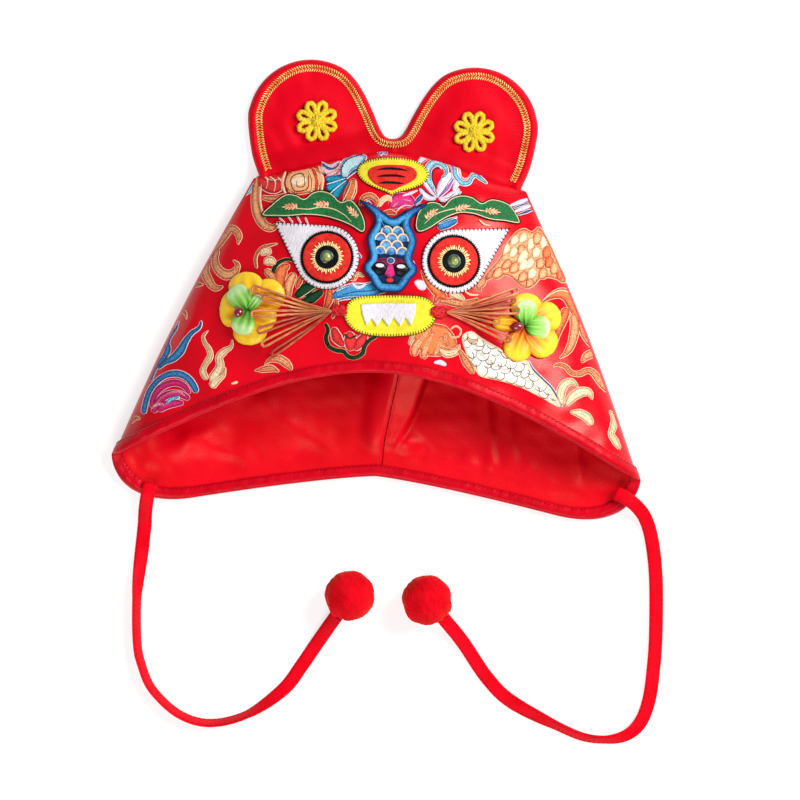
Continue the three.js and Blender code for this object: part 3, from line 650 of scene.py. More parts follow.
def satin_with_painted_shade(name, stops):
    """Satin whose colour runs from a petal's root to its tip, lighter and darker along its gathers: painted
    shade darkens the root and the gathers' hollows, and painted light lightens their ridges.
    """
    make = Finish(name, 0.42, 0.35)
    place = make.node("SeparateXYZ", {"Vector": make.uv})
    # Painted light and shade: the gathers' ridges get lighter colour and their hollows darker, and the root
    # darker than the tip
    gather_shade_wave = make.math("COSINE", make.math("MULTIPLY", place.outputs["Y"], math.pi * PETAL_GATHERS))
    gathered = make.math("MULTIPLY_ADD", gather_shade_wave, 0.05, place.outputs["X"])
    mottle_and_painted_shade = make.math("MULTIPLY_ADD", make.noise(make.object, 70), 0.5, gathered)
    return make.finished(make.ramp(mottle_and_painted_shade, stops), make.bump(make.noise(make.object, 1300), 0.00006))


RED_GLOSS = (1.0, 0.30, 0.30)
SATIN_GLOSS = (1.0, 0.66, 0.56)

satin = cloth("satin_red", (0.54, 0.0, 0.007), (0.70, 0.0, 0.011), roughness=0.23, specular=0.32,
              tint=SATIN_GLOSS, mottle=22, weave=1500, weave_depth=0.00003)
ear_cloth = cloth("ear_red", (0.55, 0.0, 0.007), (0.66, 0.0, 0.011), roughness=0.5, specular=0.2,
                  tint=RED_GLOSS, mottle=30, weave=1300, weave_depth=0.00008)
lining_cloth = cloth("lining_red", (0.58, 0.0, 0.005), (0.74, 0.0, 0.011), roughness=0.4, specular=0.27,
                     tint=(1.0, 0.50, 0.34), mottle=30, weave=1200, weave_depth=0.00012)
binding_cloth = cloth("binding_red", (0.45, 0.0, 0.007), (0.58, 0.0, 0.011), roughness=0.38, specular=0.3,
                      tint=RED_GLOSS, mottle=90, weave=1500, weave_depth=0.00006)
tie_cloth = cloth("tie_red", (0.60, 0.0, 0.006), (0.76, 0.001, 0.012), roughness=0.5, specular=0.15,
                  tint=RED_GLOSS, mottle=120, weave=1300)
red_thread = cloth("red_thread", (0.36, 0.0, 0.006), (0.52, 0.0, 0.01), roughness=0.6, specular=0.1,
                   mottle=300)
seam_thread = cloth("seam_thread", (0.18, 0.0, 0.003), (0.28, 0.0, 0.005), roughness=0.7, specular=0.05,
                    mottle=300)
knot_thread = cloth("knot_thread", (0.42, 0.0, 0.008), (0.66, 0.02, 0.02), roughness=0.5, mottle=500)
gold_braid = cloth("gold_braid", (0.66, 0.28, 0.03), (0.95, 0.70, 0.22), roughness=0.35, specular=0.4,
                   mottle=160)
yarn_yellow = cloth("yarn_yellow", (0.62, 0.42, 0.01), (0.74, 0.58, 0.04), roughness=0.8, mottle=400,
                    weave=900, weave_depth=0.0003, thread=((1.2, 3.0), (0.62, 0.42, 0.01), 0.2))
felt_yellow = cloth("felt_yellow", (0.66, 0.57, 0.025), (0.80, 0.71, 0.05), roughness=0.9, specular=0.05,
                    mottle=350, weave=1100, weave_depth=0.0003)
felt_red = cloth("felt_red", (0.54, 0.014, 0.012), (0.72, 0.038, 0.026), roughness=0.85, specular=0.08,
                 mottle=400, weave=1100, weave_depth=0.0003)
felt_white = cloth("felt_white", (0.64, 0.59, 0.64), (0.74, 0.70, 0.74), roughness=0.9, specular=0.1,
                   mottle=400, weave=1000, weave_depth=0.0005)
thread_black = cloth("thread_black", (0.004, 0.003, 0.004), (0.010, 0.009, 0.010), roughness=0.7,
                     specular=0.04, mottle=500)
thread_green_dark = cloth("thread_dark_green", (0.008, 0.03, 0.01), (0.02, 0.07, 0.02), roughness=0.6,
                          specular=0.05, mottle=500)
brow_green = cloth("brow_green", (0.004, 0.085, 0.02), (0.018, 0.18, 0.05), roughness=0.6, mottle=900,
                   weave=1600, weave_depth=0.0004)
bead_green = glossy("bead_green_gold", (0.16, 0.17, 0.03), (0.42, 0.44, 0.12))
bead_ring = glossy("bead_ring_green", (0.01, 0.045, 0.025), (0.05, 0.14, 0.08))
bead_dark_red = glossy("bead_dark_red", (0.14, 0.0, 0.008), (0.30, 0.004, 0.02))
bead_black = cloth("bead_black", (0.003, 0.003, 0.004), (0.008, 0.007, 0.01), roughness=0.35, specular=0.15,
                   mottle=500)
sprig_thread = cloth("sprig_thread", (0.72, 0.26, 0.12), (0.92, 0.62, 0.40), roughness=0.5, mottle=420)
lid_thread = cloth("lid_thread", (0.16, 0.004, 0.03), (0.42, 0.02, 0.12), roughness=0.5, mottle=700)
lash_thread = cloth("lash_thread", (0.80, 0.62, 0.24), (0.92, 0.84, 0.44), roughness=0.5, mottle=600)
red_copper = cloth("red_copper_thread", (0.34, 0.03, 0.015), (0.62, 0.18, 0.08), roughness=0.4, specular=0.4,
                   mottle=70, thread=((0.12, 5.0), (0.20, 0.01, 0.006), 0.24), thread_depth=0.0004)
copper_thread = cloth("copper_thread", (0.44, 0.10, 0.03), (0.80, 0.34, 0.13), roughness=0.4, specular=0.3,
                      mottle=70, thread=((0.12, 5.0), (0.26, 0.03, 0.012), 0.24), thread_depth=0.0004)
fleece_red = cloth("fleece_red", (0.56, 0.0, 0.006), (0.74, 0.002, 0.012), roughness=0.9, specular=0.05,
                   sheen=0.5, sheen_tint=(1.0, 0.16, 0.06), mottle=120, weave=900, weave_depth=0.0006)


# Painted shade: each ramp's darker stops fall at the root, where the petals and leaves gather
petal_finish = satin_with_painted_shade("petal_yellow", [(0.42, (0.52, 0.08, 0.002)), (0.64, (0.80, 0.27, 0.003)),
                                             (0.86, (0.86, 0.45, 0.006)), (1.0, (0.90, 0.57, 0.02))])
leaf_finish = satin_with_painted_shade("leaf_green", [(0.30, (0.02, 0.16, 0.01)), (0.52, (0.16, 0.46, 0.035)),
                                          (0.85, (0.30, 0.62, 0.12)), (1.0, (0.50, 0.76, 0.32))])

# Each thread's darker and lighter tone, its edge thread and the line inside that; embroidery() paints a
# highlight that moves each stroke's middle towards the lighter tone
GOLD_EDGE = (0.86, 0.52, 0.30)
CREAM_EDGE = (0.86, 0.62, 0.40)
BROWN = (0.10, 0.008, 0.005)
NAVY = (0.004, 0.012, 0.06)
THREAD_TONES = {
    "gold": ((0.52, 0.10, 0.03), (0.86, 0.42, 0.20), GOLD_EDGE, (0.24, 0.016, 0.008)),
    "cream": ((0.66, 0.38, 0.18), (0.88, 0.74, 0.50), CREAM_EDGE, (0.30, 0.07, 0.03)),
    "orange": ((0.50, 0.035, 0.012), (0.78, 0.20, 0.06), GOLD_EDGE, (0.20, 0.01, 0.006)),
    "pale": ((0.72, 0.44, 0.22), (0.88, 0.66, 0.42), (0.88, 0.62, 0.40), (0.80, 0.52, 0.30)),
    "white": ((0.60, 0.50, 0.60), (0.86, 0.84, 0.88), (0.05, 0.04, 0.12), (0.74, 0.62, 0.72)),
    "pink": ((0.62, 0.16, 0.20), (0.86, 0.52, 0.54), (0.86, 0.62, 0.62), (0.40, 0.05, 0.09)),
    "magenta": ((0.40, 0.0, 0.07), (0.66, 0.03, 0.20), (0.80, 0.30, 0.40), (0.14, 0.0, 0.03)),
    "blue": ((0.008, 0.075, 0.26), (0.05, 0.28, 0.56), (0.66, 0.62, 0.72), (0.003, 0.012, 0.06)),
    "cyan": ((0.06, 0.38, 0.56), (0.52, 0.82, 0.88), (0.80, 0.88, 0.92), (0.01, 0.05, 0.12)),
    "teal": ((0.0, 0.10, 0.24), (0.02, 0.34, 0.50), (0.004, 0.015, 0.04), (0.0, 0.06, 0.12)),
    "green": ((0.001, 0.012, 0.005), (0.006, 0.055, 0.018), (0.46, 0.36, 0.16), (0.002, 0.006, 0.003)),
    "lilac": ((0.32, 0.12, 0.40), (0.62, 0.40, 0.68), (0.80, 0.66, 0.82), (0.12, 0.02, 0.16)),
    "brown": (BROWN, (0.16, 0.02, 0.01), BROWN, BROWN),
    "navy": (NAVY, (0.01, 0.035, 0.13), NAVY, NAVY),
    "ivory": ((0.74, 0.60, 0.42), (0.92, 0.88, 0.78), CREAM_EDGE, (0.74, 0.60, 0.42)),
    "red": ((0.44, 0.004, 0.008), (0.70, 0.03, 0.03), (0.84, 0.60, 0.50), (0.24, 0.0, 0.004)),
}
EDGE_WIDTHS = {"white": 0.22, "green": 0.24}
EDGE_WIDTH = 0.42
THREADS = {
    name: embroidery(f"thread_{name}", *tones, EDGE_WIDTHS.get(name, EDGE_WIDTH))
    for name, tones in THREAD_TONES.items()
}
# Painted highlight along the nose roll's crest, from embroidery()
nose_roll_thread = embroidery("nose_roll_thread", (0.008, 0.09, 0.32), (0.06, 0.31, 0.60),
                              (0.002, 0.012, 0.06), (0.004, 0.04, 0.18), 0.4, 0.6)
nose_dark = cloth("nose_dark", (0.003, 0.009, 0.035), (0.010, 0.035, 0.10), roughness=0.7, specular=0.08,
                  mottle=400)
scale_blue = cloth("scale_blue", (0.006, 0.07, 0.32), (0.16, 0.46, 0.76), roughness=0.4, specular=0.1,
                   mottle=420)


# Ties and pompoms. The ties' routes are in metres, in the frame; the pompoms' middles are in millimetres

TIE_LEFT = [
    (-0.112, -0.104, 0.0069), (-0.1132, -0.110, 0.0071), (-0.114, -0.117, 0.0042),
    (-0.1142, -0.125, 0.0012), (-0.1148, -0.1355, 0.0009), (-0.1162, -0.160, 0.0009),
    (-0.115, -0.1836, 0.0009), (-0.112, -0.1955, 0.0009), (-0.106, -0.2072, 0.0009),
    (-0.0924, -0.2186, 0.0009), (-0.0767, -0.2223, 0.0009), (-0.0582, -0.217, 0.0009),
    (-0.0411, -0.204, 0.0009), (-0.0324, -0.1916, 0.0009), (-0.0248, -0.1792, 0.0022),
    (-0.0162, -0.1655, 0.0073),
]
TIE_RIGHT = [
    (0.1195, -0.0975, 0.0082), (0.1255, -0.100, 0.0088), (0.1315, -0.1045, 0.0064),
    (0.136, -0.1105, 0.0026), (0.1395, -0.121, 0.0012), (0.1423, -0.139, 0.0009),
    (0.1436, -0.165, 0.0009), (0.1434, -0.183, 0.0009), (0.1417, -0.201, 0.0009),
    (0.137, -0.2133, 0.0009), (0.1276, -0.2198, 0.0009), (0.1124, -0.2206, 0.0009),
    (0.0966, -0.2153, 0.0009), (0.0733, -0.2044, 0.0009), (0.0605, -0.1931, 0.0009),
    (0.0474, -0.1757, 0.0024), (0.037, -0.164, 0.0073),
]
TIE_WIDTH = 7.0
TIE_THICKNESS = 1.28
TIE_CORNERS = (0.55, 0.8)   # powers that square the section's corners
TIE_STEPS = 150
TIE_SIDES = 20
SINK = 0.35                 # how far a leaning tie presses into the surface
TIE_SEAM = 0.36             # share of the width from the middle to each row of stitches
STITCH_PITCH = 2.4
TIE_STITCH_RADIUS = 0.16
# Leans in degrees at shares of the length
LEAN_LEFT = [(0, 0), (0.14, 0), (0.26, 55), (0.7, 60), (0.82, 10), (1, 0)]
LEAN_RIGHT = [(0, 0), (0.5, 12), (0.58, 55), (0.68, 50), (0.78, 5), (1, 0)]
POMPOMS = {"left": (-9.9, -155.0), "right": (28.6, -155.3)}


def make_tie(side, route, turn):
    """A flat tie with two rows of stitches, and its pompom; turn holds the tie's leans."""
    path = catmull(np.array(route) / MM, TIE_STEPS)
    path[:, 1] += SHIFT_Y
    beside, up, angle = around(tangents(path), TIE_SIDES)
    lean = np.radians(np.interp(np.linspace(0, 1, TIE_STEPS), *zip(*turn)))[:, None]
    across = beside * np.cos(lean) + up * np.sin(lean)
    over = up * np.cos(lean) - beside * np.sin(lean)
    ex = np.sign(np.cos(angle)) * np.abs(np.cos(angle)) ** TIE_CORNERS[0]
    ez = np.sign(np.sin(angle)) * np.abs(np.sin(angle)) ** TIE_CORNERS[1]
    half_width, half_thick = TIE_WIDTH / 2, TIE_THICKNESS / 2
    ring = (across[:, None] * (ex * half_width)[None, :, None]
            + over[:, None] * (ez * half_thick)[None, :, None])
    raise_by = np.maximum(0, np.abs(np.sin(lean[:, 0])) * half_width - SINK)
    points = path[:, None] + ring
    points[..., 2] += raise_by[:, None]
    bag = Bag()
    run = np.linspace(0, line_length(path), TIE_STEPS)
    uv = np.stack(np.broadcast_arrays(run[:, None], ex[None] * half_width), -1)
    bag.add(points, tube_faces(TIE_STEPS, TIE_SIDES), uv)
    tie = bag.build(f"tie_{side}_satin", tie_cloth, "tie_satin", [f"tie_{side}"])
    centre = path + np.array([0, 0, 1.0]) * raise_by[:, None]
    stitches = Bag()
    for offset in (-TIE_SEAM, TIE_SEAM):
        line = centre + across * offset * TIE_WIDTH + over * (half_thick + 0.02)
        dense = resample(line, int(line_length(line) / STITCH_PITCH) * 2)
        capsules(stitches, dense[0:-1:2], dense[1::2], TIE_STITCH_RADIUS, sides=5)
    thread = stitches.build(f"tie_{side}_stitches", red_thread, "tie_satin")
    pompom = make_pompom(side, route[-1])
    real = centre * MM
    real[:, 1] -= SHIFT_Y * MM


def make_pompom(side, end):
    """A ball of soft pile, gathered into small folds where the tie enters it."""
    centre = np.array([*POMPOMS[side], POMPOM_RADIUS])
    centre[1] += SHIFT_Y
    enter = np.array([end[0] / MM, end[1] / MM + SHIFT_Y, end[2] / MM]) - centre
    enter /= np.linalg.norm(enter)
    bpy.ops.mesh.primitive_ico_sphere_add(subdivisions=6, radius=1)
    sphere = bpy.context.object
    points = np.array([v.co[:] for v in sphere.data.vertices])
    faces = [tuple(p.vertices) for p in sphere.data.polygons]
    bpy.data.objects.remove(sphere)
    level = points @ enter
    side_a = np.cross(enter, [0, 0, 1.0])
    side_a /= np.linalg.norm(side_a)
    side_b = np.cross(enter, side_a)
    angle = np.arctan2(points @ side_b, points @ side_a)
    gather = smoothstep(level, 0.1, 0.95)
    x, y, z = (points * POMPOM_RADIUS).T
    lumps = 0.35 * waves(x + 0.6 * z, y - 0.4 * z, 13, 21) + 0.12 * waves(x - z, y + z, 3.2, 23)
    curls = 0.10 * waves(x + z, y - z, 1.3, 25, 10)
    folds = 0.45 * gather * np.sin(9 * angle + 2 * np.sin(3 * angle)) - 0.9 * smoothstep(level, 0.86, 1.0)
    radius = POMPOM_RADIUS - 0.25 + lumps + curls + folds
    points = points * radius[:, None] + centre
    points[:, 2] = np.maximum(points[:, 2], POMPOM_FLOOR)
    bag = Bag()
    bag.add(points, faces)
    fleece = bag.build(f"pompom_{side}_fleece", fleece_red, "fleece", [f"pompom_{side}"])
    return fleece


# Hat body

def height_among(points, x, y, reach=0.8):
    """The height among the points near each x and y, the nearest counting most; reach is in millimetres."""
    height = np.empty(np.shape(x))
    for place in np.ndindex(height.shape):
        gap = (points[:, 0] - x[place]) ** 2 + (points[:, 1] - y[place]) ** 2
        share = np.exp(-(gap - gap.min()) / reach ** 2)
        height[place] = (share * points[:, 2]).sum() / share.sum()
    return height


# Rings, and points across the front and along the rear
SHELL_ROWS = 90
SHELL_COLUMNS = (200, 150)
LINING_ROWS = 120
LINING_COLUMNS = (120, 340)
BINDING_COLUMNS = (420, 340)
SEAM_COLUMNS = (360, 300)

# The binding's section from its inner seam over the hem to its outer seam: inset from the hem, and depth
BINDING_SECTION = [
    (5.8, -0.25), (5.6, -0.8), (5.0, -1.0), (4.0, -1.15), (2.6, -1.3), (1.2, -1.2), (0.35, -0.6),
    (0.0, 0.4), (0.0, 1.9), (0.35, 3.1), (1.2, 3.7), (2.6, 3.8), (4.0, 3.65), (5.0, 3.5), (5.6, 3.3),
    (5.8, 2.75),
]
HEM_STITCH_INSET = 4.9
HEM_STITCH_DEPTHS = (-1.0, 3.5)
HEM_STITCHES = 250          # in each of the two rows
HEM_STITCH_RADIUS = 0.26


def hem_ring(inset, depth, columns):
    """Points round the mouth at an inset from both hems."""
    return pocket_ring(lambda s: front_hem(s, inset), lambda s: rear_hem(s, inset), depth, columns)


def ring_piece(name, rings, finish, slot, node, flip=False):
    """A piece of cloth between rings of points that each close on themselves."""
    bag = Bag()
    bag.add(rings, grid_faces(*rings.shape[:2], closed=True, flip=flip))
    return bag.build(name, finish, slot, [node])


def make_body():
    """The satin shell, the lining and the hem's binding, with their seam and stitches."""
    outside = ring_piece("satin_shell", pocket(0.0, SHELL_ROWS, SHELL_COLUMNS), satin, "satin", "shell")

    rings = pocket(LINING_DEPTH, LINING_ROWS, LINING_COLUMNS)
    rings[..., 2] += lining_folds(*np.moveaxis(rings, -1, 0))
    lining = ring_piece("lining_cloth", rings, lining_cloth, "lining", "lining", flip=True)
    rear = rings[:, LINING_COLUMNS[0] + 1:].reshape(-1, 3)
    line = Bag()
    stroke(line, LINING_SEAM, [0.5, 0.6, 0.5], lift=0.25, dome=0.12, across=4,
           surface=lambda x, y: height_among(rear, x, y))
    lining_seam = line.build("lining_seam_thread", seam_thread, "lining")

    rings = np.array([hem_ring(inset, depth, BINDING_COLUMNS) for inset, depth in BINDING_SECTION])
    rings[..., 2] += hem_puckers(rings[..., 0], rings[..., 1])
    binding = ring_piece("hem_binding_satin", rings, binding_cloth, "binding", "hem_binding", flip=True)

    stitches = Bag()
    for depth in HEM_STITCH_DEPTHS:
        ring = resample(rejoined(hem_ring(HEM_STITCH_INSET, depth, SEAM_COLUMNS)), 2 * HEM_STITCHES)
        ring[:, 2] += 0.1 + hem_puckers(ring[:, 0], ring[:, 1])
        capsules(stitches, ring[0::2], ring[1::2], HEM_STITCH_RADIUS, sides=5)
    seam = stitches.build("hem_stitches", red_thread, "binding")


HEM_JOINT = plan(393, 470)
HEM_PUCKER = plan(234, 390)


def hem_puckers(x, y):
    """Small ripples of the binding, strongest beside its joint and where the front bends."""
    fine = 0.14 * waves(x, y, 5.5, 51) + 0.12 * waves(x, y, 17, 53)
    joint = -0.5 * np.exp(-((x - HEM_JOINT[0]) / 0.7) ** 2 - ((y - HEM_JOINT[1]) / 9) ** 2)
    near = np.exp(-((x - HEM_PUCKER[0]) ** 2 + (y - HEM_PUCKER[1]) ** 2) / 60)
    return fine + joint + 0.4 * near * np.sin(1.9 * (x + y))


def ridge(x, y, line, width, height):
    """A soft ridge along a plan line."""
    best = np.full(np.shape(x), np.inf)
    for a, b in zip(line[:-1], line[1:]):
        edge = b - a
        t = np.clip(((x - a[0]) * edge[0] + (y - a[1]) * edge[1]) / (edge @ edge), 0, 1)
        best = np.minimum(best, np.hypot(x - a[0] - t * edge[0], y - a[1] - t * edge[1]))
    return height * np.exp(-(best / width) ** 2)


# The rear seam in the lining, the pleat beside it, and soft folds with their widths and heights
LINING_SEAM = plans([(399, 350), (398, 376), (391, 410), (385, 440), (382, 466)])
LINING_PLEAT = plans([(434, 350), (424, 379), (413, 411), (401, 435), (389, 452)])
PLEAT_RISE = 0.42
PLEAT_LEAN = 0.12
LINING_POUCH = plan(408, 443)
POUCH_SIZE = (6.5, 4.5)
POUCH_RISE = 3.0
LINING_BACK_TOP = 12.0
LINING_FOLDS = [
    (plans([(485, 385), (489, 430), (492, 465)]), 2.6, 1.3),
    (plans([(506, 385), (512, 460)]), 3.2, 0.9),
    (plans([(574, 425), (580, 475)]), 3.0, 1.5),
    (plans([(374, 385), (372, 430), (379, 460)]), 4.5, 1.9),
    (plans([(190, 440), (235, 452), (262, 476)]), 4.5, 1.6),
    (plans([(150, 462), (215, 428)]), 5.0, 1.5),
    (plans([(262, 402), (330, 452)]), 6.0, 1.6),
    (plans([(140, 432), (165, 478)]), 5.0, 1.4),
    (plans([(430, 455), (470, 466)]), 4.0, 1.2),
]


def line_x(line, y):
    """X on a plan line that runs down Y, at each y."""
    return np.interp(y, line[::-1, 1], line[::-1, 0])


def lining_folds(x, y, z):
    """Heights added to the lining where it lies on the back: the seam's folds and soft waves."""
    on_back = z < LINING_BACK_TOP
    past_hem = smoothstep(y - rear_hem(x / HALF), 7, 16)
    seam_x = line_x(LINING_SEAM, y)
    across = (x - seam_x) / np.maximum(line_x(LINING_PLEAT, y) - seam_x, 2)
    pleat_end, pleat_start = LINING_PLEAT[-1, 1], LINING_PLEAT[0, 1]
    deep = np.maximum(y - pleat_end, 0) * (1 - smoothstep(y, pleat_start, pleat_start + 30))
    left = 1 - smoothstep(seam_x - x, 0, 15)
    rise = PLEAT_RISE * deep + PLEAT_LEAN * np.maximum(x - seam_x, 0)
    pleat = rise * left * (1 - smoothstep(across, 1.0, 1.16))
    folds = pleat * smoothstep(deep, 0, 5) - ridge(x, y, LINING_SEAM, 0.7, 0.9)
    pouch = (np.stack([x, y], -1) - LINING_POUCH) / POUCH_SIZE
    folds = folds + POUCH_RISE * np.exp(-(pouch ** 2).sum(-1))
    for line, width, height in LINING_FOLDS:
        folds = folds + ridge(x, y, line, width, height)
    return on_back * past_hem * (folds + 0.8 * waves(x, y, 30, 41) + 0.25 * waves(x, y, 11, 43) + 0.6)


# Ears

EAR_FOOT = 0.97             # share of the crown's half width at which the ears begin
EAR_OUTER_BEND = (69.8, 64.0)
EAR_INNER_SIDE = [(19.6, 102.6), (14.7, 95.6), (10.2, 87.2), (6.6, 79.6), (3.7, 75.4)]
EAR_MEETING = (0.0, 74.2)


def ear_line():
    """The outline over both ears, from the right foot to the left one."""
    y = crown_y(EAR_FOOT) + GAP
    half = [(EAR_FOOT * float(fold_half(y)), float(y)), EAR_OUTER_BEND]
    for angle in range(0, 121, 15):
        half.append(tuple((EAR_SPREAD, EAR_CENTRE_Y) + EAR_RADIUS * heading(math.radians(angle))))
    half += EAR_INNER_SIDE
    left = [(-x, y) for x, y in reversed(half)]
    return catmull(half + [EAR_MEETING] + left, 420)


EAR_OUTLINE = ear_line()
VALLEY = (0.4, 74.2)
EAR_EDGE = 3.4              # width of the ears' rounded edge
BRAID_GROOVE = 4.7          # from the edge to the dent that the braid lies in
EAR_FLOWERS = {"left": (317, 121.5), "right": (474, 132.5)}


def ear_base(x, y):
    share = np.clip(x / fold_half(y), -1, 1)
    beyond = (y - crown_y(share)) / EAR_DROOP
    return (FOLD_RISE - EAR_PAD / 2) * (1 - smoothstep(beyond, 0, 1))


def ear_d(x, y):
    """Distance to the ears' outline."""
    points = np.column_stack([np.ravel(x), np.ravel(y)])
    d = np.concatenate([
        np.linalg.norm(points[i:i + 4000, None] - EAR_OUTLINE[None], axis=2).min(1)
        for i in range(0, len(points), 4000)
    ])
    return d.reshape(np.shape(x))


def ear_top(x, y):
    x, y = np.asarray(x, float), np.asarray(y, float)
    d = ear_d(x, y)
    t = np.minimum(d / EAR_EDGE, 1)
    roll = 0.25 + 0.75 * rounding(t)
    groove = 1.2 * np.exp(-((d - BRAID_GROOVE) / 1.7) ** 2)
    dome = -1.2 * smoothstep(d, 4, 8) + 1.2 * smoothstep(d, 8, 20)
    away = np.hypot(x - VALLEY[0], y - VALLEY[1])
    turn = np.arctan2(y - VALLEY[1], x - VALLEY[0])
    puckers = 0.45 * np.exp(-(away / 7) ** 2) * np.sin(7 * turn) * smoothstep(away, 0.5, 3)
    pull = 0.35 * np.exp(-((x + 55) / 16) ** 2 - ((y - 70) / 12) ** 2) * np.sin(0.55 * (x + 0.75 * y))
    soft = 0.3 * waves(x, y, 26, 31) + 0.1 * waves(x, y, 10, 33)
    return ear_base(x, y) + EAR_PAD * roll - groove + (dome + soft + pull) * t + puckers


def make_ears():
    share = np.linspace(-EAR_FOOT, EAR_FOOT, 120)
    y = crown_y(share) + GAP
    foot = np.column_stack([share * fold_half(y), y - 1.5])
    outline = np.concatenate([EAR_OUTLINE[1:-1], foot])
    pad = Bag()
    patch(pad, outline, lambda x, y, d: ear_top(x, y), lambda x, y: ear_base(x, y) + 0.05,
          1.3, (0.25, 0.7, 1.4, 2.3))
    pad.build("ears_satin", ear_cloth, "satin", ["ear_pad"])

    centre = braid_line()
    ahead = tangents(centre)
    beside = leftward(ahead)
    braid = Bag()
    for row, lean in ((-1.1, 1), (1.1, -1)):
        line = centre + beside * row
        start = line - beside * 0.6 + ahead * 0.4 * lean
        end = line + beside * 0.6 - ahead * 0.4 * lean
        capsules(braid, drape(start, 0.3, ear_top), drape(end, 0.3, ear_top), 0.33, bow=0.25)
    for offset in (-0.28, 0.28):
        line = resample(centre + beside * offset, 2 * 150)
        capsules(braid, drape(line[0::2], 0.2, ear_top), drape(line[1::2], 0.2, ear_top), 0.2, sides=5)
    braid.build("ears_braid", gold_braid, "braid", ["ear_braid"])
    for side, place in EAR_FLOWERS.items():
        make_loop_flower(side, plan(*place))


def braid_line():
    """The braid's middle, a little closer to the edge on the ears' inner sides."""
    inset = 4.4 + 1.1 * smoothstep(np.abs(EAR_OUTLINE[:, 0]), 45, 68)
    moved = EAR_OUTLINE + leftward(tangents(EAR_OUTLINE)) * inset[:, None]
    share = moved[:, 0] / fold_half(moved[:, 1])
    keep = moved[:, 1] > crown_y(share) + 2.5
    moved = moved[keep]
    far = ear_d(moved[:, 0], moved[:, 1]) > inset[keep] * 0.9
    moved = moved[far]
    return resample(smoothed(moved, 9), 210)


def smoothed(line, width):
    """A line averaged over a number of points, with its ends where they were."""
    pad = width // 2
    ext = np.concatenate([np.repeat(line[:1], pad, 0), line, np.repeat(line[-1:], pad, 0)])
    kernel = np.ones(width) / width
    out = np.stack([np.convolve(ext[:, k], kernel, "valid") for k in range(line.shape[1])], -1)
    out[0], out[-1] = line[0], line[-1]
    return out


LOOPS = 8
LOOP_REACH = 6.2            # from the flower's middle to that of each loop
LOOP_LENGTH = 6.6
LOOP_WIDTH = 4.7
YARN_RADIUS = 1.22
KNOT_STRANDS = 18


def make_loop_flower(side, centre):
    """A crochet flower of open loops round a knotted middle."""
    bag = Bag()
    for i in range(LOOPS):
        out = heading(TURN * (i + 0.5) / LOOPS + 0.08)
        beside = leftward(out)
        loop = []
        for t in np.linspace(0, TURN, 15)[:-1]:
            reach = LOOP_REACH - LOOP_LENGTH / 2 * math.cos(t)
            outer = (reach - LOOP_REACH) / LOOP_LENGTH + 0.5
            wide = LOOP_WIDTH / 2 * math.sin(t) * (0.55 + 0.45 * outer)
            loop.append(centre + out * reach + beside * wide)
        rope = drape(rejoined(catmull(loop, 40, closed=True)), 1.3, ear_top)
        tube(bag, rope, YARN_RADIUS + 0.12 * np.sin(np.linspace(0, 9 * TURN, len(rope))), 8)
    bag.build(f"ear_flower_{side}_loops", yarn_yellow, "yellow_yarn", [f"ear_flower_{side}"])
    knot = Bag()
    height = float(ear_top(*centre)) + 1.9
    for i in range(KNOT_STRANDS):
        out = heading(TURN * i / KNOT_STRANDS + rng.uniform(-0.1, 0.1))
        start, end = centre - out * 0.6, centre + out * rng.uniform(3.2, 4.2)
        rise = 0.4 * (i % 3)
        line = [(*start, height + 0.3 + rise), (*((start + end) / 2), height + 0.6 + rise),
                (*end, height - 0.5)]
        tube(knot, catmull(line, 8), 0.5)
    knot.build(f"ear_flower_{side}_knot", yarn_yellow, "yellow_yarn", [f"ear_flower_knot_{side}"])


# Stitches round felt pieces

def blanket(bag, outline, lift, pitch, inner, outer, radius):
    """Blanket stitches over the edge of a felt piece."""
    ring = rejoined(outline)
    line = resample(ring, int(line_length(ring) / pitch), closed=True)
    jitter = rng.uniform(-0.12, 0.12, (len(line), 2))
    deep = inward(line, inner) + jitter
    near = inward(line, -outer) + jitter
    capsules(bag, drape(near, 0.25), drape(deep, lift + 0.05), radius, sides=5, bow=0.35)


# Forehead, in pixels of the photograph

FOREHEAD = [(391.5, 197.0), (386.5, 194.0), (376, 190.0), (365, 184.0), (358.2, 176.0), (358.8, 169.0),
            (366, 162.8), (378, 160.0), (391, 159.2), (404, 160.0), (416, 162.8), (424.5, 168.5),
            (428.2, 176.5), (424.0, 184.5), (413, 190.0), (401, 193.4), (395.5, 195.0)]
SHIELD = [(392.6, 192.6), (384, 190.2), (374.5, 185.2), (368.8, 178.0), (369.2, 171.8), (375, 168.2),
          (384, 166.8), (394, 166.6), (404, 167.0), (412, 169.2), (416.8, 174.4), (415.0, 180.8),
          (407, 186.0), (399, 189.6)]
STRIPES = [
    [(377.5, 171.8), (384, 170.6), (392, 170.4), (400, 171.0), (407.0, 172.6)],
    [(378.0, 178.4), (385, 177.6), (392, 177.4), (399, 177.8), (405.5, 179.0)],
    [(379.0, 185.2), (386, 184.6), (392, 184.6), (398, 185.0), (404.0, 185.8)],
]


FOREHEAD_FELT = 1.1


def make_forehead():
    line = catmull(plans(FOREHEAD), 150, closed=True)
    felt_piece("forehead_patch_felt", line, GAP, FOREHEAD_FELT, 1.1, felt_yellow, "yellow_felt",
               ["forehead_patch"])
    shield = catmull(plans(SHIELD), 120, closed=True)
    felt_piece("forehead_shield_felt", shield, GAP + FOREHEAD_FELT, 0.7, 1.1, felt_red, "red_felt",
               ["forehead_shield"])
    bag = Bag()
    blanket(bag, line, 1.5, pitch=1.3, inner=0.9, outer=0.6, radius=0.22)
    bag.build("forehead_stitches", thread_black, "black_felt")
    for i, points in enumerate(STRIPES, 1):
        stripe = Bag()
        stroke(stripe, plans(points), [0.5, 1.5, 1.7, 1.5, 0.5], lift=2.1, dome=0.5, step=0.5)
        stripe.build(f"forehead_stripe_{i}_thread", thread_black, "black_felt", [f"forehead_stripe_{i}"])


# Brows in millimetres; their embroidered sprigs in pixels, each with its root and the way that it points

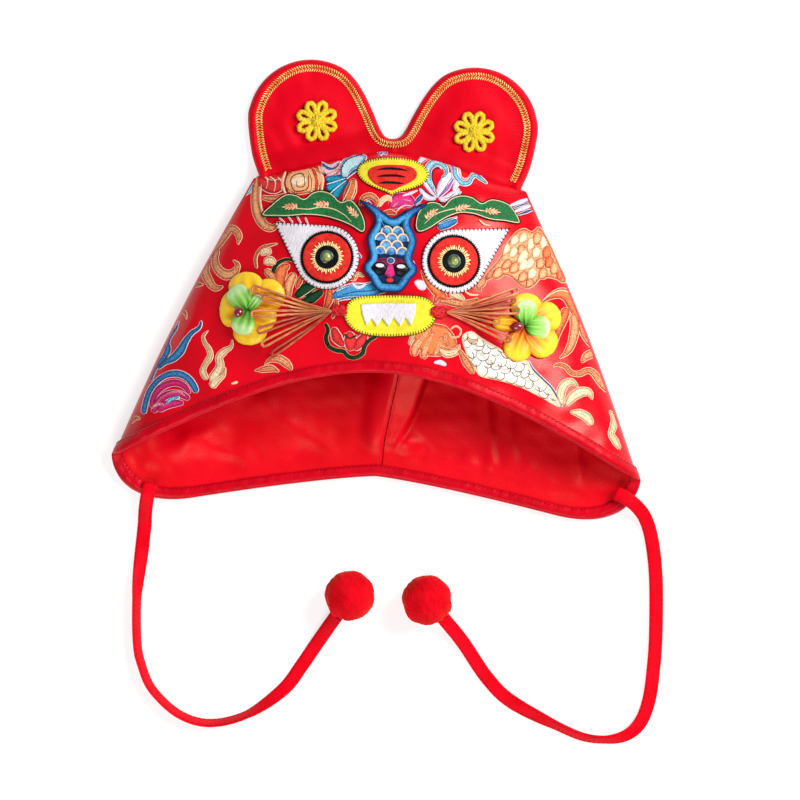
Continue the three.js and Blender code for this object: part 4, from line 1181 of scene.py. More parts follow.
BROWS = {
    "left": [(-62.7, 32.7), (-57.5, 38.6), (-51.7, 43.2), (-46.5, 43.2), (-42.1, 41.5), (-38.3, 44.6),
             (-33.8, 45.9), (-28.4, 44.4), (-24, 40.8), (-19.1, 42), (-15.1, 38.5), (-12.2, 33.5),
             (-11, 29.3), (-11.4, 26.7), (-13.2, 26.1), (-18.2, 28.9), (-24.3, 31.2), (-32, 33.0),
             (-40.7, 33.3), (-48.5, 32.4), (-55.1, 32.1)],
    "right": [(16.2, 27.5), (14, 28.9), (13.6, 32.1), (14.4, 36.6), (16.6, 40.1), (19.2, 42.4), (22, 43),
              (25.3, 42.2), (27.1, 41.1), (30.3, 44.9), (35.3, 47), (41, 46.5), (45.9, 43.8),
              (49.4, 45.6), (52.6, 46), (57.6, 44.9), (61.4, 42.3), (65.4, 35.1), (57.6, 35.3),
              (50.2, 35.7), (42.4, 37.8), (35.7, 38), (30.6, 36.2), (26.4, 33.7), (20.9, 29.6)],
}
SPRIGS = {
    "left": [((297, 208), 183), ((328, 206), 180), ((357, 218), 135)],
    "right": [((426, 219), 35), ((456, 211), 15), ((486, 212), -8)],
}
SPRIG_STEMS = {
    "left": [(288, 209), (297, 210), (309, 211), (322, 209), (334, 211), (345, 217), (352, 224)],
    "right": [(424, 226), (434, 217), (447, 212), (460, 210), (474, 211), (487, 213), (500, 214)],
}
# Each grain of a sprig: its place along the stem, its spread in degrees and its length
SPRIG_GRAINS = [(0.0, -48, 5.0), (0.0, 48, 5.0), (2.6, -38, 5.6), (2.6, 38, 5.6), (5.2, -28, 5.6),
                (5.2, 28, 5.6), (7.4, 0, 6.0), (-2.0, -70, 3.0), (-2.0, 70, 3.0), (-2.5, 0, 5.0)]


def sprig_heading(degrees):
    """A direction in pixels, whose Y runs down."""
    return heading(math.radians(degrees)) * (1, -1)


def make_brows():
    for side, points in BROWS.items():
        line = catmull(points, 200, closed=True)
        felt_piece(f"brow_{side}_brocade", line, GAP, 1.2, 1.2, brow_green, "green_satin", [f"brow_{side}"])
        edge, sprig, painted_shadow = Bag(), Bag(), Bag()
        tube(edge, drape(rejoined(inward(line, 0.45)), 1.4), 0.24)
        stroke(edge, plans(SPRIG_STEMS[side]), [0.3, 0.7, 0.7, 0.3], lift=1.4, dome=0.25)
        for root, turn in SPRIGS[side]:
            spine = sprig_heading(turn)
            for along, spread, reach in SPRIG_GRAINS:
                out = sprig_heading(turn + spread)
                start = np.array(root, float) + spine * (along + 1)
                grain = [start, start + out * reach * 0.55 + spine * 0.4, start + out * reach]
                stroke(sprig, plans(grain), [0.6, 1.3, 1.1, 0.3], lift=1.45, dome=0.5, step=0.4)
        edge.build(f"brow_{side}_gold", THREADS["pale"], "gold_thread")
        sprig.build(f"brow_{side}_sprigs", sprig_thread, "gold_thread")
        # Painted shadow: a black line just outside each brow stands in for the shadow that the raised brow
        # casts on the satin
        tube(painted_shadow, drape(rejoined(inward(line, -0.2)), 0.35), 0.3, 5)
        painted_shadow.build(f"brow_{side}_edge", thread_black, "black_felt")


# Eyes: each with its centre and its outer corner, in millimetres

EYES = {"left": ((-29.2, 12.8), (-56.0, 28.9)), "right": ((33.5, 13.9), (60.2, 31.6))}
EYE_RADIUS = 15.7
RING_RADIUS = 13.0
IRIS_RADIUS = 11.9
LASH_RADIUS = 6.1
PUPIL_RADIUS = 5.9
LASHES = 44
BEAD_HEIGHT = 3.9
BEAD_RADIUS = 2.3


def eye_outline(centre, corner):
    """A circle that runs out to a point at the eye's outer corner."""
    reach = corner - centre
    lean = math.atan2(reach[1], reach[0])
    open_by = math.acos(EYE_RADIUS / np.hypot(*reach)) * 0.97
    arc = [centre + EYE_RADIUS * heading(lean + open_by + t)
           for t in np.linspace(0, TURN - 2 * open_by, 60)]
    return resample(np.array([corner, *arc, corner]), 200, closed=True)


def make_eyes():
    for side, (centre, corner) in EYES.items():
        centre = np.array(centre)
        line = eye_outline(centre, np.array(corner))
        felt_piece(f"eye_{side}_felt", line, GAP, 1.0, 1.3, felt_white, "white_felt", [f"eye_white_{side}"])
        ring = Bag()
        felt(ring, circle(centre, RING_RADIUS, 90), GAP + 0.9, 0.8, 1.4)
        blanket(ring, line, 1.25, pitch=1.95, inner=1.0, outer=0.6, radius=0.27)
        ring_edge = circle(centre, RING_RADIUS + 0.1, 90)
        iris_edge = circle(centre, IRIS_RADIUS + 0.3, 90)
        blanket(ring, ring_edge, 1.9, pitch=1.15, inner=0.8, outer=0.75, radius=0.3)
        blanket(ring, iris_edge, 2.6, pitch=1.05, inner=0.35, outer=0.5, radius=0.2)
        ring.build(f"eye_{side}_ring", thread_black, "black_felt", [f"eye_ring_{side}"])
        felt_piece(f"eye_{side}_iris", circle(centre, IRIS_RADIUS, 90), GAP + 1.6, 0.8, 1.1, felt_red,
                   "red_felt", [f"eye_iris_{side}"])
        lashes = Bag()
        felt(lashes, circle(centre, LASH_RADIUS, 60), GAP + 2.3, 0.5, 1.2)
        count = np.arange(LASHES)
        angle = TURN * (count + rng.uniform(-0.15, 0.15, LASHES)) / LASHES
        out = np.stack([np.cos(angle), np.sin(angle)], -1)
        reach = 7.5 + 0.7 * (count % 2) + rng.uniform(-0.2, 0.3, LASHES)
        start, end = centre + out * 5.3, centre + out * reach[:, None]
        capsules(lashes, drape(start, 3.1), drape(end, 2.95), 0.36, bow=0.3)
        lashes.build(f"eye_{side}_lashes", lash_thread, "gold_thread", [f"eye_lashes_{side}"])
        felt_piece(f"eye_{side}_pupil", circle(centre, PUPIL_RADIUS, 60), GAP + 2.6, 0.9, 1.0, thread_black,
                   "black_felt", [f"eye_pupil_{side}"])
        height = float(top(*centre)) + BEAD_HEIGHT
        bead_edge = Bag()
        tube(bead_edge, rejoined(np.column_stack([circle(centre, 2.7, 33), np.full(33, height)])), 0.75, 10)
        bead_edge.build(f"eye_{side}_bead_ring", bead_ring, "bead_gold")
        bead = Bag()
        ball(bead, (*centre, height + 0.2), BEAD_RADIUS, (1, 1, 0.85))
        bead.build(f"eye_{side}_bead", bead_green, "bead_gold", [f"eye_bead_{side}"])


# Nose: a padded fish in millimetres, its outlines given by their right halves from NOSE_X, head end first

NOSE_X = 2.3
NOSE_HALF = [(0, -3.2), (5.5, -2.6), (8.5, 0.6), (10.4, 3.9), (12.9, 6.6), (13.2, 10.2), (11.0, 13.0),
             (10.8, 15.6), (12.0, 19.5), (12.4, 23.4), (10.8, 27.5), (9.0, 31.0), (9.8, 34.4),
             (13.0, 37.8), (17.0, 42.2), (9.4, 39.6), (4.6, 36.6), (0, 34.2)]
NOSE_ROLL = 4.2
NOSE_INNER_HALF = [(0, 1.2), (4.6, 1.4), (6.8, 4.6), (9.0, 7.4), (9.0, 9.9), (6.9, 13.0), (6.9, 16),
                   (8.0, 20), (8.1, 23.6), (6.4, 27.0), (3.6, 29.0), (0, 29.6)]
# Rows of scales: Y, and the places across
SCALE_ROWS = [(26.4, (-2.7, 2.7)), (23.0, (-5.4, 0, 5.4)), (19.6, (-2.7, 2.7)), (16.4, (-5.4, 0, 5.4))]
NOSE_BAND = [(-6.3, -0.4), (-3, 0.2), (0, 0.3), (3, 0.2), (6.3, -0.4)]
NOSE_CREASES = [
    [(366, 207), (373, 214), (380, 223), (385, 231)],
    [(422, 205), (413, 214), (405, 222), (400, 230)],
    [(381, 213), (388, 219), (393, 222), (399, 218), (406, 212)],
]


def mirrored(half):
    right = np.array(half, float)
    return np.concatenate([right, (right[1:-1] * (-1, 1))[::-1]]) + (NOSE_X, 0)


def make_nose():
    line = catmull(mirrored(NOSE_HALF), 240, closed=True)

    def roll(x, y, d):
        across = (np.minimum(d, NOSE_ROLL) - NOSE_ROLL / 2) / (NOSE_ROLL / 2)
        return top(x, y) + GAP + 0.6 + 3.1 * np.sqrt(np.maximum(0, 1 - across ** 2))
    bag = Bag()
    patch(bag, line, roll, lambda x, y: top(x, y) + GAP, 0.7, (0.1, 0.35, 0.8, 1.4))
    bag.build("nose_roll_satin", nose_roll_thread, "blue_satin", ["nose_roll"])

    inner = catmull(mirrored(NOSE_INNER_HALF), 150, closed=True)
    felt_piece("nose_cloth_dark", inner, GAP, 1.6, 1.0, nose_dark, "dark_cloth", ["nose_cloth"])

    plates, arcs = Bag(), Bag()
    for y, xs in SCALE_ROWS:
        for x in xs:
            centre = np.array([NOSE_X + x, y])
            a = np.linspace(math.radians(-8), math.radians(188), 26)
            arc = centre + np.stack([2.7 * np.cos(a), 3.0 * np.sin(a)], -1)
            tube(arcs, drape(arc, 2.5), 0.45)
            felt(plates, np.concatenate([arc, [centre + (0, -1.0)]]), 1.6, 0.7, 0.8)
    plates.build("nose_scale_plates", scale_blue, "blue_satin")
    arcs.build("nose_scale_threads", THREADS["pale"], "gold_thread", ["nose_scales"])

    lids, shine, fringe, creases, band = Bag(), Bag(), Bag(), Bag(), Bag()
    for side, sign in (("left", -1), ("right", 1)):
        centre = np.array([NOSE_X + sign * 5.3, 9.0])
        felt(lids, circle(centre + (0, 0.6), (4.2, 3.4), 40), 1.7, 0.6, 0.9)
        bag = Bag()
        ball(bag, (*(centre - (0, 0.5)), float(top(*centre)) + 2.6), 3.9, (1.05, 0.86, 0.46))
        bag.build(f"nose_eye_{side}_black", bead_black, "black_felt", [f"nose_eye_{side}"])
        # Painted highlight: a white felt crescent on each black eye stands in for its glint
        felt(shine, circle(centre + (-0.1 * sign, 0.95), (2.1, 1.0), 24), 4.3, 0.35, 0.5)
    lids.build("nose_eye_lids", lid_thread, "red_felt")
    shine.build("nose_eye_shines", felt_white, "white_felt")
    for x in np.linspace(-1.0, 1.0, 9):
        start = np.array([[NOSE_X + x * 0.7, 10.8]])
        end = np.array([[NOSE_X + x * 2.4, 3.9 + 1.6 * abs(x)]])
        capsules(fringe, drape(start, 2.8), drape(end, 2.4), 0.36, bow=0.5)
    fringe.build("nose_fringe", THREADS["magenta"], "red_felt")
    for points in NOSE_CREASES:
        stroke(creases, plans(points), [0.3, 0.9, 0.7, 0.3], lift=3.4, dome=0.35)
    creases.build("nose_creases", nose_dark, "blue_satin")
    for y in (13.4, 12.5):
        stroke(band, [(NOSE_X + dx, y + dy) for dx, dy in NOSE_BAND], [0.6, 1.0, 0.6], lift=2.0, dome=0.5)
    band.build("nose_band", lid_thread, "red_felt")
    felt_piece("nose_drop", circle((NOSE_X, 12.6), (2.0, 1.7), 36), 2.2, 0.9, 0.7, THREADS["blue"],
               "blue_satin")
    felt_piece("nose_mouth", circle((NOSE_X, 3.0), (1.9, 1.2), 30), 1.8, 0.9, 0.6, felt_red, "red_felt")


# Mouth, in pixels of the photograph

MOUTH = [(345.0, 314.5), (347.5, 306.5), (354, 300.4), (366, 297.6), (388, 296.8), (410, 297.2),
         (423, 298.8), (432.0, 304.5), (435.4, 314.0), (432.5, 324.0), (424, 331.5), (411, 335.6),
         (392, 337.2), (372, 336.2), (357, 332), (348.0, 324)]
TEETH = [(361.4, 305.6), (388, 304.2), (415.8, 304.8), (415.4, 314), (411.0, 327.0), (405.2, 318.4),
         (400.2, 327.4), (393.6, 318.6), (388.6, 327.8), (382.4, 319.2), (377, 327.6), (371.8, 319.4),
         (366.8, 326.8), (362.6, 315)]


def make_mouth():
    line = catmull(plans(MOUTH), 180, closed=True)
    felt_piece("mouth_felt", line, GAP, 1.0, 1.3, felt_yellow, "yellow_felt", ["mouth"])
    bag = Bag()
    blanket(bag, line, 1.3, pitch=1.4, inner=1.2, outer=0.6, radius=0.25)
    bag.build("mouth_stitches", thread_green_dark, "black_felt")
    teeth = resample(rejoined(plans(TEETH)), 160, closed=True)
    felt_piece("teeth_cloth", teeth, GAP + 1.0, 1.0, 1.0, felt_white, "white_cloth", ["teeth"])


# Whiskers, in pixels of the photograph: where the loops gather, the knot's middle and half sizes, each loop's
# end and half width, which loops are red, and how far the loops bow in millimetres

WHISKERS = {
    "left": {
        "gather": (332.5, 312.2),
        "knot": ((340.5, 311.6), (7.5, 4.6)),
        "ends": [((257.0, 290.5), 3.0), ((268.0, 299.5), 2.6), ((256.4, 315.0), 2.8),
                 ((262.5, 331.5), 2.6), ((266.5, 344.5), 2.6), ((276.0, 353.5), 2.2)],
        "red": (3, 5),
        "bow": 1.0,
    },
    "right": {
        "gather": (445.8, 313.4),
        "knot": ((438.5, 313.2), (8.0, 5.0)),
        "ends": [((513.6, 292.4), 2.8), ((511.5, 301.4), 2.4), ((514.5, 311.6), 2.8),
                 ((496.0, 322.5), 2.4), ((506.6, 340.0), 2.8)],
        "red": (1,),
        "bow": -0.6,
    },
}


def flower_lift(x, y, centre):
    """How far the whiskers rise over a cheek flower's petals."""
    near = np.hypot(x - centre[0], y - centre[1])
    return 5.2 * (1 - smoothstep(near, 11.0, 26.0))


def make_whiskers():
    for side, facts in WHISKERS.items():
        gather = plan(*facts["gather"])
        flower = plan(*FLOWERS[side]["centre"])
        bags = Bag(), Bag()
        for i, (end, spread) in enumerate(facts["ends"]):
            tip = plan(*end)
            ahead = (tip - gather) / np.hypot(*(tip - gather))
            beside = leftward(ahead)
            bow = facts["bow"] * math.sin(1.3 * i + 0.5)
            gap = spread * PIXEL
            third, rest = gather + (tip - gather) * 0.35, gather + (tip - gather) * 0.75
            out = [gather + beside * 0.2, third + beside * (0.45 * gap + bow),
                   rest + beside * (0.9 * gap + bow * 0.6), tip + beside * gap]
            back = [tip + ahead * gap, tip - beside * gap, rest - beside * (0.9 * gap - bow * 0.6),
                    third - beside * (0.45 * gap - bow), gather - beside * 0.2]
            line = catmull(np.array(out + back), 100)
            run = np.hypot(*(line - gather).T)
            rope = drape(line, 1.1 + 0.45 * (i % 3))
            rope[:, 2] += flower_lift(line[:, 0], line[:, 1], flower) + 1.6 * np.exp(-run / 6)
            tube(bags[i in facts["red"]], rope, 0.3 + 0.34 * smoothstep(run, 2, 20), 8)
        bags[0].build(f"whiskers_{side}_strands", copper_thread, "copper_thread", [f"whisker_tassel_{side}"])
        bags[1].build(f"whiskers_{side}_red_strands", red_copper, "copper_thread")
        bag = Bag()
        (px, py), (across, along) = facts["knot"]
        middle = plan(px, py)
        t = np.linspace(0, TURN, 22)
        for k in range(9):
            lean = math.radians(20 + 40 * k)
            x = middle[0] + across * PIXEL * np.cos(t) * (0.9 if k % 2 else 0.55)
            y = middle[1] + along * PIXEL * np.sin(t + lean) * (0.6 if k % 2 else 0.95)
            z = top(x, y) + 1.7 + 0.9 * np.cos(t + lean)
            tube(bag, np.column_stack([x, y, z]), 0.62)
        bag.build(f"whiskers_{side}_knot", knot_thread, "red_felt", [f"whisker_knot_{side}"])


# Cloth flowers, in pixels of the photograph: the tip and width of each petal and leaf, and each petal's layer

FLOWERS = {
    "left": {
        "centre": (250, 311), "bead": (240.5, 313.5), "bead_size": (2.6, 2.7, 2.4),
        "petals": [((277, 324), 26, 1), ((253, 346), 34, 0), ((221, 309), 36, 0), ((283, 287), 33, 0),
                   ((246, 273), 35, 1)],
        "leaves": [((235, 287), 25), ((262, 297), 12), ((241, 335), 24)],
    },
    "right": {
        "centre": (524, 327), "bead": (515.5, 327.4), "bead_size": (3.4, 2.3, 2.3),
        "petals": [((491, 323), 15, 0), ((512, 361), 29, 0), ((552, 353), 32, 1), ((559, 312), 31, 0),
                   ((526, 294), 31, 1)],
        "leaves": [((525, 300), 23), ((549, 329), 24)],
    },
}


def dome_of(way, share=1.0):
    """The height of a round dome, from 1 at its middle to 0 or more at its edge."""
    return np.sqrt(np.clip(1 - share * way ** 2, 0, 1))


PETAL_ROWS, PETAL_COLUMNS = 30, 41
PETAL_WIDEST = 0.62         # share of the length at which a petal is widest


def petal(bag, root, tip, width, height, lift, depth):
    """A puffed round petal from its root to its tip, gathered at the root; depth is that of the gathers."""
    root, tip = np.asarray(root, float), np.asarray(tip, float)
    ahead = tip - root
    length = np.hypot(*ahead)
    ahead /= length
    beside = leftward(ahead)
    u = np.linspace(0, 1, PETAL_ROWS)[:, None]
    v = np.linspace(-1, 1, PETAL_COLUMNS)[None]
    grow = dome_of(1 - np.minimum(u / PETAL_WIDEST, 1)) ** 1.15
    close = dome_of(np.maximum(u - PETAL_WIDEST, 0) / (1 - PETAL_WIDEST))
    spread = width / 2 * grow * close
    x = root[0] + ahead[0] * u * length + beside[0] * v * spread
    y = root[1] + ahead[1] * u * length + beside[1] * v * spread
    dome = dome_of(v) ** 0.8 * dome_of(2 * u - 1, 0.98) ** 0.8
    gather = (1 - u) ** 1.2 * np.cos(np.pi * PETAL_GATHERS * v)
    z = height * dome * (1 + depth * gather) + top(x, y) + lift
    faces = grid_faces(PETAL_ROWS, PETAL_COLUMNS, flip=True)
    bag.add(np.stack([x, y, z], -1), faces, np.stack(np.broadcast_arrays(u, v), -1))


def make_flowers():
    for side, facts in FLOWERS.items():
        centre = plan(*facts["centre"])
        bag = Bag()
        for tip, width, layer in facts["petals"]:
            petal(bag, centre, plan(*tip), width * PIXEL, 3.2, 0.4 + 0.6 * layer, 0.35)
        petals = bag.build(f"flower_{side}_petals", petal_finish, "petal_cloth", [f"flower_petals_{side}"])
        bag = Bag()
        for tip, width in facts["leaves"]:
            petal(bag, centre, plan(*tip), width * PIXEL, 2.6, 3.0, 0.3)
        leaves = bag.build(f"flower_{side}_leaves", leaf_finish, "leaf_cloth", [f"flower_leaf_{side}"])
        bag = Bag()
        spot = plan(*facts["bead"])
        ball(bag, (*spot, float(top(*spot)) + 4.8), 1.0, facts["bead_size"])
        bag.build(f"flower_{side}_bead", bead_dark_red, "bead_red", [f"flower_bead_{side}"])


# Brocade: strokes of thread in pixels of the photograph, each with its widths along it

FLAMES = [
    ("blue", [(180, 321), (177, 329), (171, 336), (168, 343), (169, 350), (165, 358), (159, 364),
              (155, 371), (152, 381)], [1.5, 4, 6, 7, 8, 7, 6, 5, 4]),
    ("blue", [(203, 321), (201, 328), (193, 334), (187, 342), (182, 351), (175, 358), (166, 363),
              (159, 369)], [3, 5, 6, 8, 10, 9, 6, 4]),
    ("cream", [(210, 331), (205, 337), (207, 344), (211, 350), (212, 357), (207, 365), (205, 372),
               (209, 380)], [1.5, 4, 5, 6, 7, 6, 7, 6]),
    ("cream", [(234, 340), (233, 347), (226, 352), (221, 358), (222, 366), (218, 374), (212, 381)],
     [1.5, 5, 8, 8, 9, 10, 9]),
    ("cream", [(227, 367), (225, 375), (218, 381), (213, 388)], [2, 6, 9, 9]),
]
HALF_MOON = [
    ("blue", [(145, 414), (147, 403), (151, 391), (159, 381), (169, 375), (180, 374), (189, 378),
              (195, 385), (199, 393)], [7, 7, 7, 7, 7, 8, 8, 8, 7]),
    ("magenta", [(153, 408), (155, 398), (161, 389), (170, 384), (179, 383), (187, 387), (192, 394)],
     [6, 7, 8, 8, 8, 7, 5]),
    ("magenta", [(155, 413), (160, 402), (169, 395), (181, 394), (192, 399)], [7, 9, 9, 8, 6]),
    ("magenta", [(160, 411), (168, 405), (178, 403), (186, 403)], [7, 10, 9, 5]),
    ("pink", [(156, 407), (163, 398), (172, 393), (181, 392), (187, 396)], [2, 2.5, 2.5, 2.5, 2]),
    ("pink", [(153, 408), (160, 404), (166, 405)], [4, 6, 3]),
    ("cyan", [(168, 404), (174, 399), (182, 397)], [4, 6, 3]),
]
SCROLLS = [
    ("gold", [(205, 266), (208, 258), (214, 250), (220, 243), (226, 236), (232, 231)],
     [5, 8, 9, 10, 9, 6]),
    ("gold", [(226, 235), (231, 230), (236, 231), (240, 237), (239, 246)], [7, 9, 8, 7, 1.5]),
    ("gold", [(219, 250), (216, 258), (217, 266), (222, 273), (229, 276), (236, 273), (239, 266),
              (234, 261)], [6, 8, 9, 10, 11, 9, 6, 2]),
    ("gold", [(208, 264), (206, 272), (209, 280), (214, 287), (219, 289), (225, 287)],
     [7, 9, 10, 9, 7, 2]),
    ("gold", [(193, 285), (198, 285), (205, 285)], [6, 6, 1.5]),
    ("gold", [(181, 311), (186, 313), (188, 320)], [4, 4, 1.5]),
    ("gold", [(132, 423), (137, 418), (142, 419)], [4, 5, 3]),
    ("gold", [(256, 371), (264, 370), (273, 369), (281, 372)], [1.5, 7, 8, 2]),
    ("gold", [(266, 365), (273, 360), (282, 360), (290, 366), (293, 371)], [1.5, 6, 9, 9, 4]),
    ("pale", [(233, 384), (240, 382)], [2, 3]),
    ("gold", [(258, 270), (257, 259), (262, 250), (270, 247), (279, 245)], [3, 4, 4, 4, 2]),
    ("cream", [(262, 257), (266, 252), (273, 255)], [6, 10, 6]),
    ("cream", [(265, 265), (271, 262), (277, 266)], [7, 10, 6]),
    ("gold", [(266, 271), (272, 276), (278, 284)], [7, 9, 6]),
]
PEONY = [
    ("green", [(275, 288), (274, 276), (278, 266), (288, 261), (298, 264)], [4, 5, 5, 4, 2]),
    ("orange", [(282, 294), (281, 281), (284, 271), (291, 266)], [6, 12, 13, 6]),
    ("gold", [(290, 299), (290, 286), (296, 274)], [6, 11, 8]),
    ("orange", [(298, 290), (301, 282), (304, 275)], [5, 7, 3]),
    ("green", [(296, 298), (305, 292), (317, 285)], [6, 14, 9]),
    ("green", [(300, 305), (312, 300), (324, 292)], [5, 11, 7]),
    ("pale", [(300, 300), (308, 295), (318, 288)], [0.8, 1, 0.8]),
    ("orange", [(325, 313), (330, 301), (331, 289)], [4, 9, 7]),
    ("gold", [(333, 320), (337, 309), (337, 300)], [3, 6, 4]),
    ("red", [(334, 328), (338, 339), (345, 347)], [7, 12, 6]),
    ("red", [(367, 334), (361, 343), (355, 351)], [7, 12, 6]),
    ("red", [(350, 332), (351, 341), (351, 352)], [8, 15, 8]),
    ("green", [(326, 324), (329, 331), (327, 339), (330, 347), (337, 351), (344, 352), (349, 357),
               (356, 358), (363, 354), (365, 347), (370, 341), (378, 337)],
     [4, 4.5, 5, 5, 5, 5, 5, 5, 5, 5, 4.5, 3]),
    ("green", [(345, 334), (350, 339), (358, 336)], [2, 4, 2]),
]
WAVE = [
    ("blue", [(332, 299), (343, 294), (355, 292), (367, 292), (380, 288), (396, 286)],
     [6, 13, 16, 16, 15, 10]),
    ("cyan", [(335, 303), (345, 300), (356, 299), (368, 298)], [2, 3.5, 3.5, 2]),
    ("cyan", [(337, 293), (349, 287), (364, 286), (377, 281)], [1.5, 3, 3, 1.5]),
    ("navy", [(343, 296), (358, 293), (372, 292), (384, 287)], [1, 1.6, 1.6, 1]),
    ("orange", [(347, 276), (353, 280), (358, 279)], [4, 6, 3]),
    ("white", [(352, 284), (359, 289), (367, 285)], [3, 5, 3]),
    ("cream", [(354, 283), (358, 276), (365, 278)], [3, 5, 3]),
    ("lilac", [(358, 254), (362, 260)], [2.5, 3]),
    ("white", [(414, 283), (420, 286), (425, 291)], [5, 10, 8]),
    ("lilac", [(412, 262), (416, 270)], [2, 3]),
]
DRUM = [
    ("cyan", [(241, 197), (247, 190), (253, 183)], [5, 11, 5]),
    ("navy", [(243, 194), (248, 189), (251, 186)], [1, 3, 1]),
    ("gold", [(258, 176), (256, 190), (256, 204), (259, 217), (266, 227), (274, 229), (281, 223)],
     [5, 8, 9, 10, 10, 9, 2]),
    ("pale", [(262, 183), (261, 196), (262, 208), (267, 219)], [1, 1.8, 1.8, 1]),
    ("gold", [(262, 198), (272, 200), (283, 198), (292, 193)], [5, 7, 6, 3]),
    ("red", [(258, 177), (264, 184), (274, 188), (286, 184)], [8, 13, 15, 10]),
    ("pale", [(262, 174), (268, 181), (267, 190)], [1.2, 2, 1.2]),
    ("pale", [(270, 177), (276, 183), (275, 193)], [1.2, 2, 1.2]),
    ("pale", [(278, 178), (283, 184), (282, 191)], [1.2, 2, 1.2]),
    ("gold", [(285, 185), (298, 183), (311, 181), (323, 179)], [25, 28, 28, 26]),
    ("cream", [(291, 184), (299, 182), (308, 181)], [15, 19, 15]),
    ("orange", [(313, 169), (317, 181), (317, 194)], [4, 6, 4]),
    ("cream", [(308, 170), (312, 181), (312, 194)], [2, 3, 2]),
    ("brown", [(309, 176), (308, 190), (295, 192), (292, 179), (303, 175), (305, 187), (298, 188),
               (297, 182)], [1.2, 1.4, 1.4, 1.4, 1.4, 1.4, 1.4, 1]),
    ("pale", [(286, 172), (283, 184), (287, 198)], [2, 3.4, 2]),
    ("brown", [(289, 172), (286, 184), (290, 198)], [1, 1.3, 1]),
    ("pale", [(319, 167), (323, 180), (322, 194)], [2, 3.4, 2]),
    ("brown", [(323, 167), (327, 180), (326, 193)], [1.6, 2.2, 1.6]),
    ("pink", [(320, 168), (330, 172), (342, 165)], [9, 14, 5]),
    ("white", [(321, 162), (330, 167), (340, 162)], [2, 3.5, 2]),
    ("blue", [(322, 164), (329, 170), (336, 169), (341, 162)], [3, 5, 4, 1.5]),
    ("pink", [(326, 179), (334, 175), (342, 171)], [7, 10, 3]),
    ("navy", [(320, 173), (329, 178), (338, 174), (344, 167)], [1, 1.6, 1.6, 1]),
    ("cyan", [(344, 181), (346, 170), (353, 163), (367, 157)], [6, 15, 16, 3]),
    ("white", [(347, 179), (350, 169), (360, 161)], [2, 4, 1.5]),
    ("blue", [(346, 181), (353, 174), (361, 168), (367, 158)], [2, 4, 4, 1.5]),
    ("navy", [(343, 180), (342, 169), (349, 160), (365, 154)], [1, 1.5, 1.5, 1]),
    ("teal", [(347, 180), (337, 180), (326, 181)], [4, 9, 10]),
    ("teal", [(347, 181), (337, 186), (327, 191)], [4, 10, 11]),
    ("teal", [(348, 182), (340, 190), (334, 200)], [4, 10, 11]),
    ("cyan", [(346, 180), (337, 183), (327, 186)], [1, 1.6, 1.2]),
    ("cyan", [(347, 182), (339, 188), (330, 196)], [1, 1.6, 1.2]),
    ("orange", [(354, 180), (352, 191), (347, 204)], [6, 12, 10]),
    ("pale", [(352, 182), (349, 192), (343, 204)], [1.2, 2, 1.5]),
    ("pale", [(356, 182), (355, 192), (351, 203)], [1, 1.8, 1.2]),
    ("lilac", [(378, 156), (382, 152), (388, 155)], [5, 8, 4]),
    ("white", [(380, 158), (385, 153)], [2, 2.5]),
]
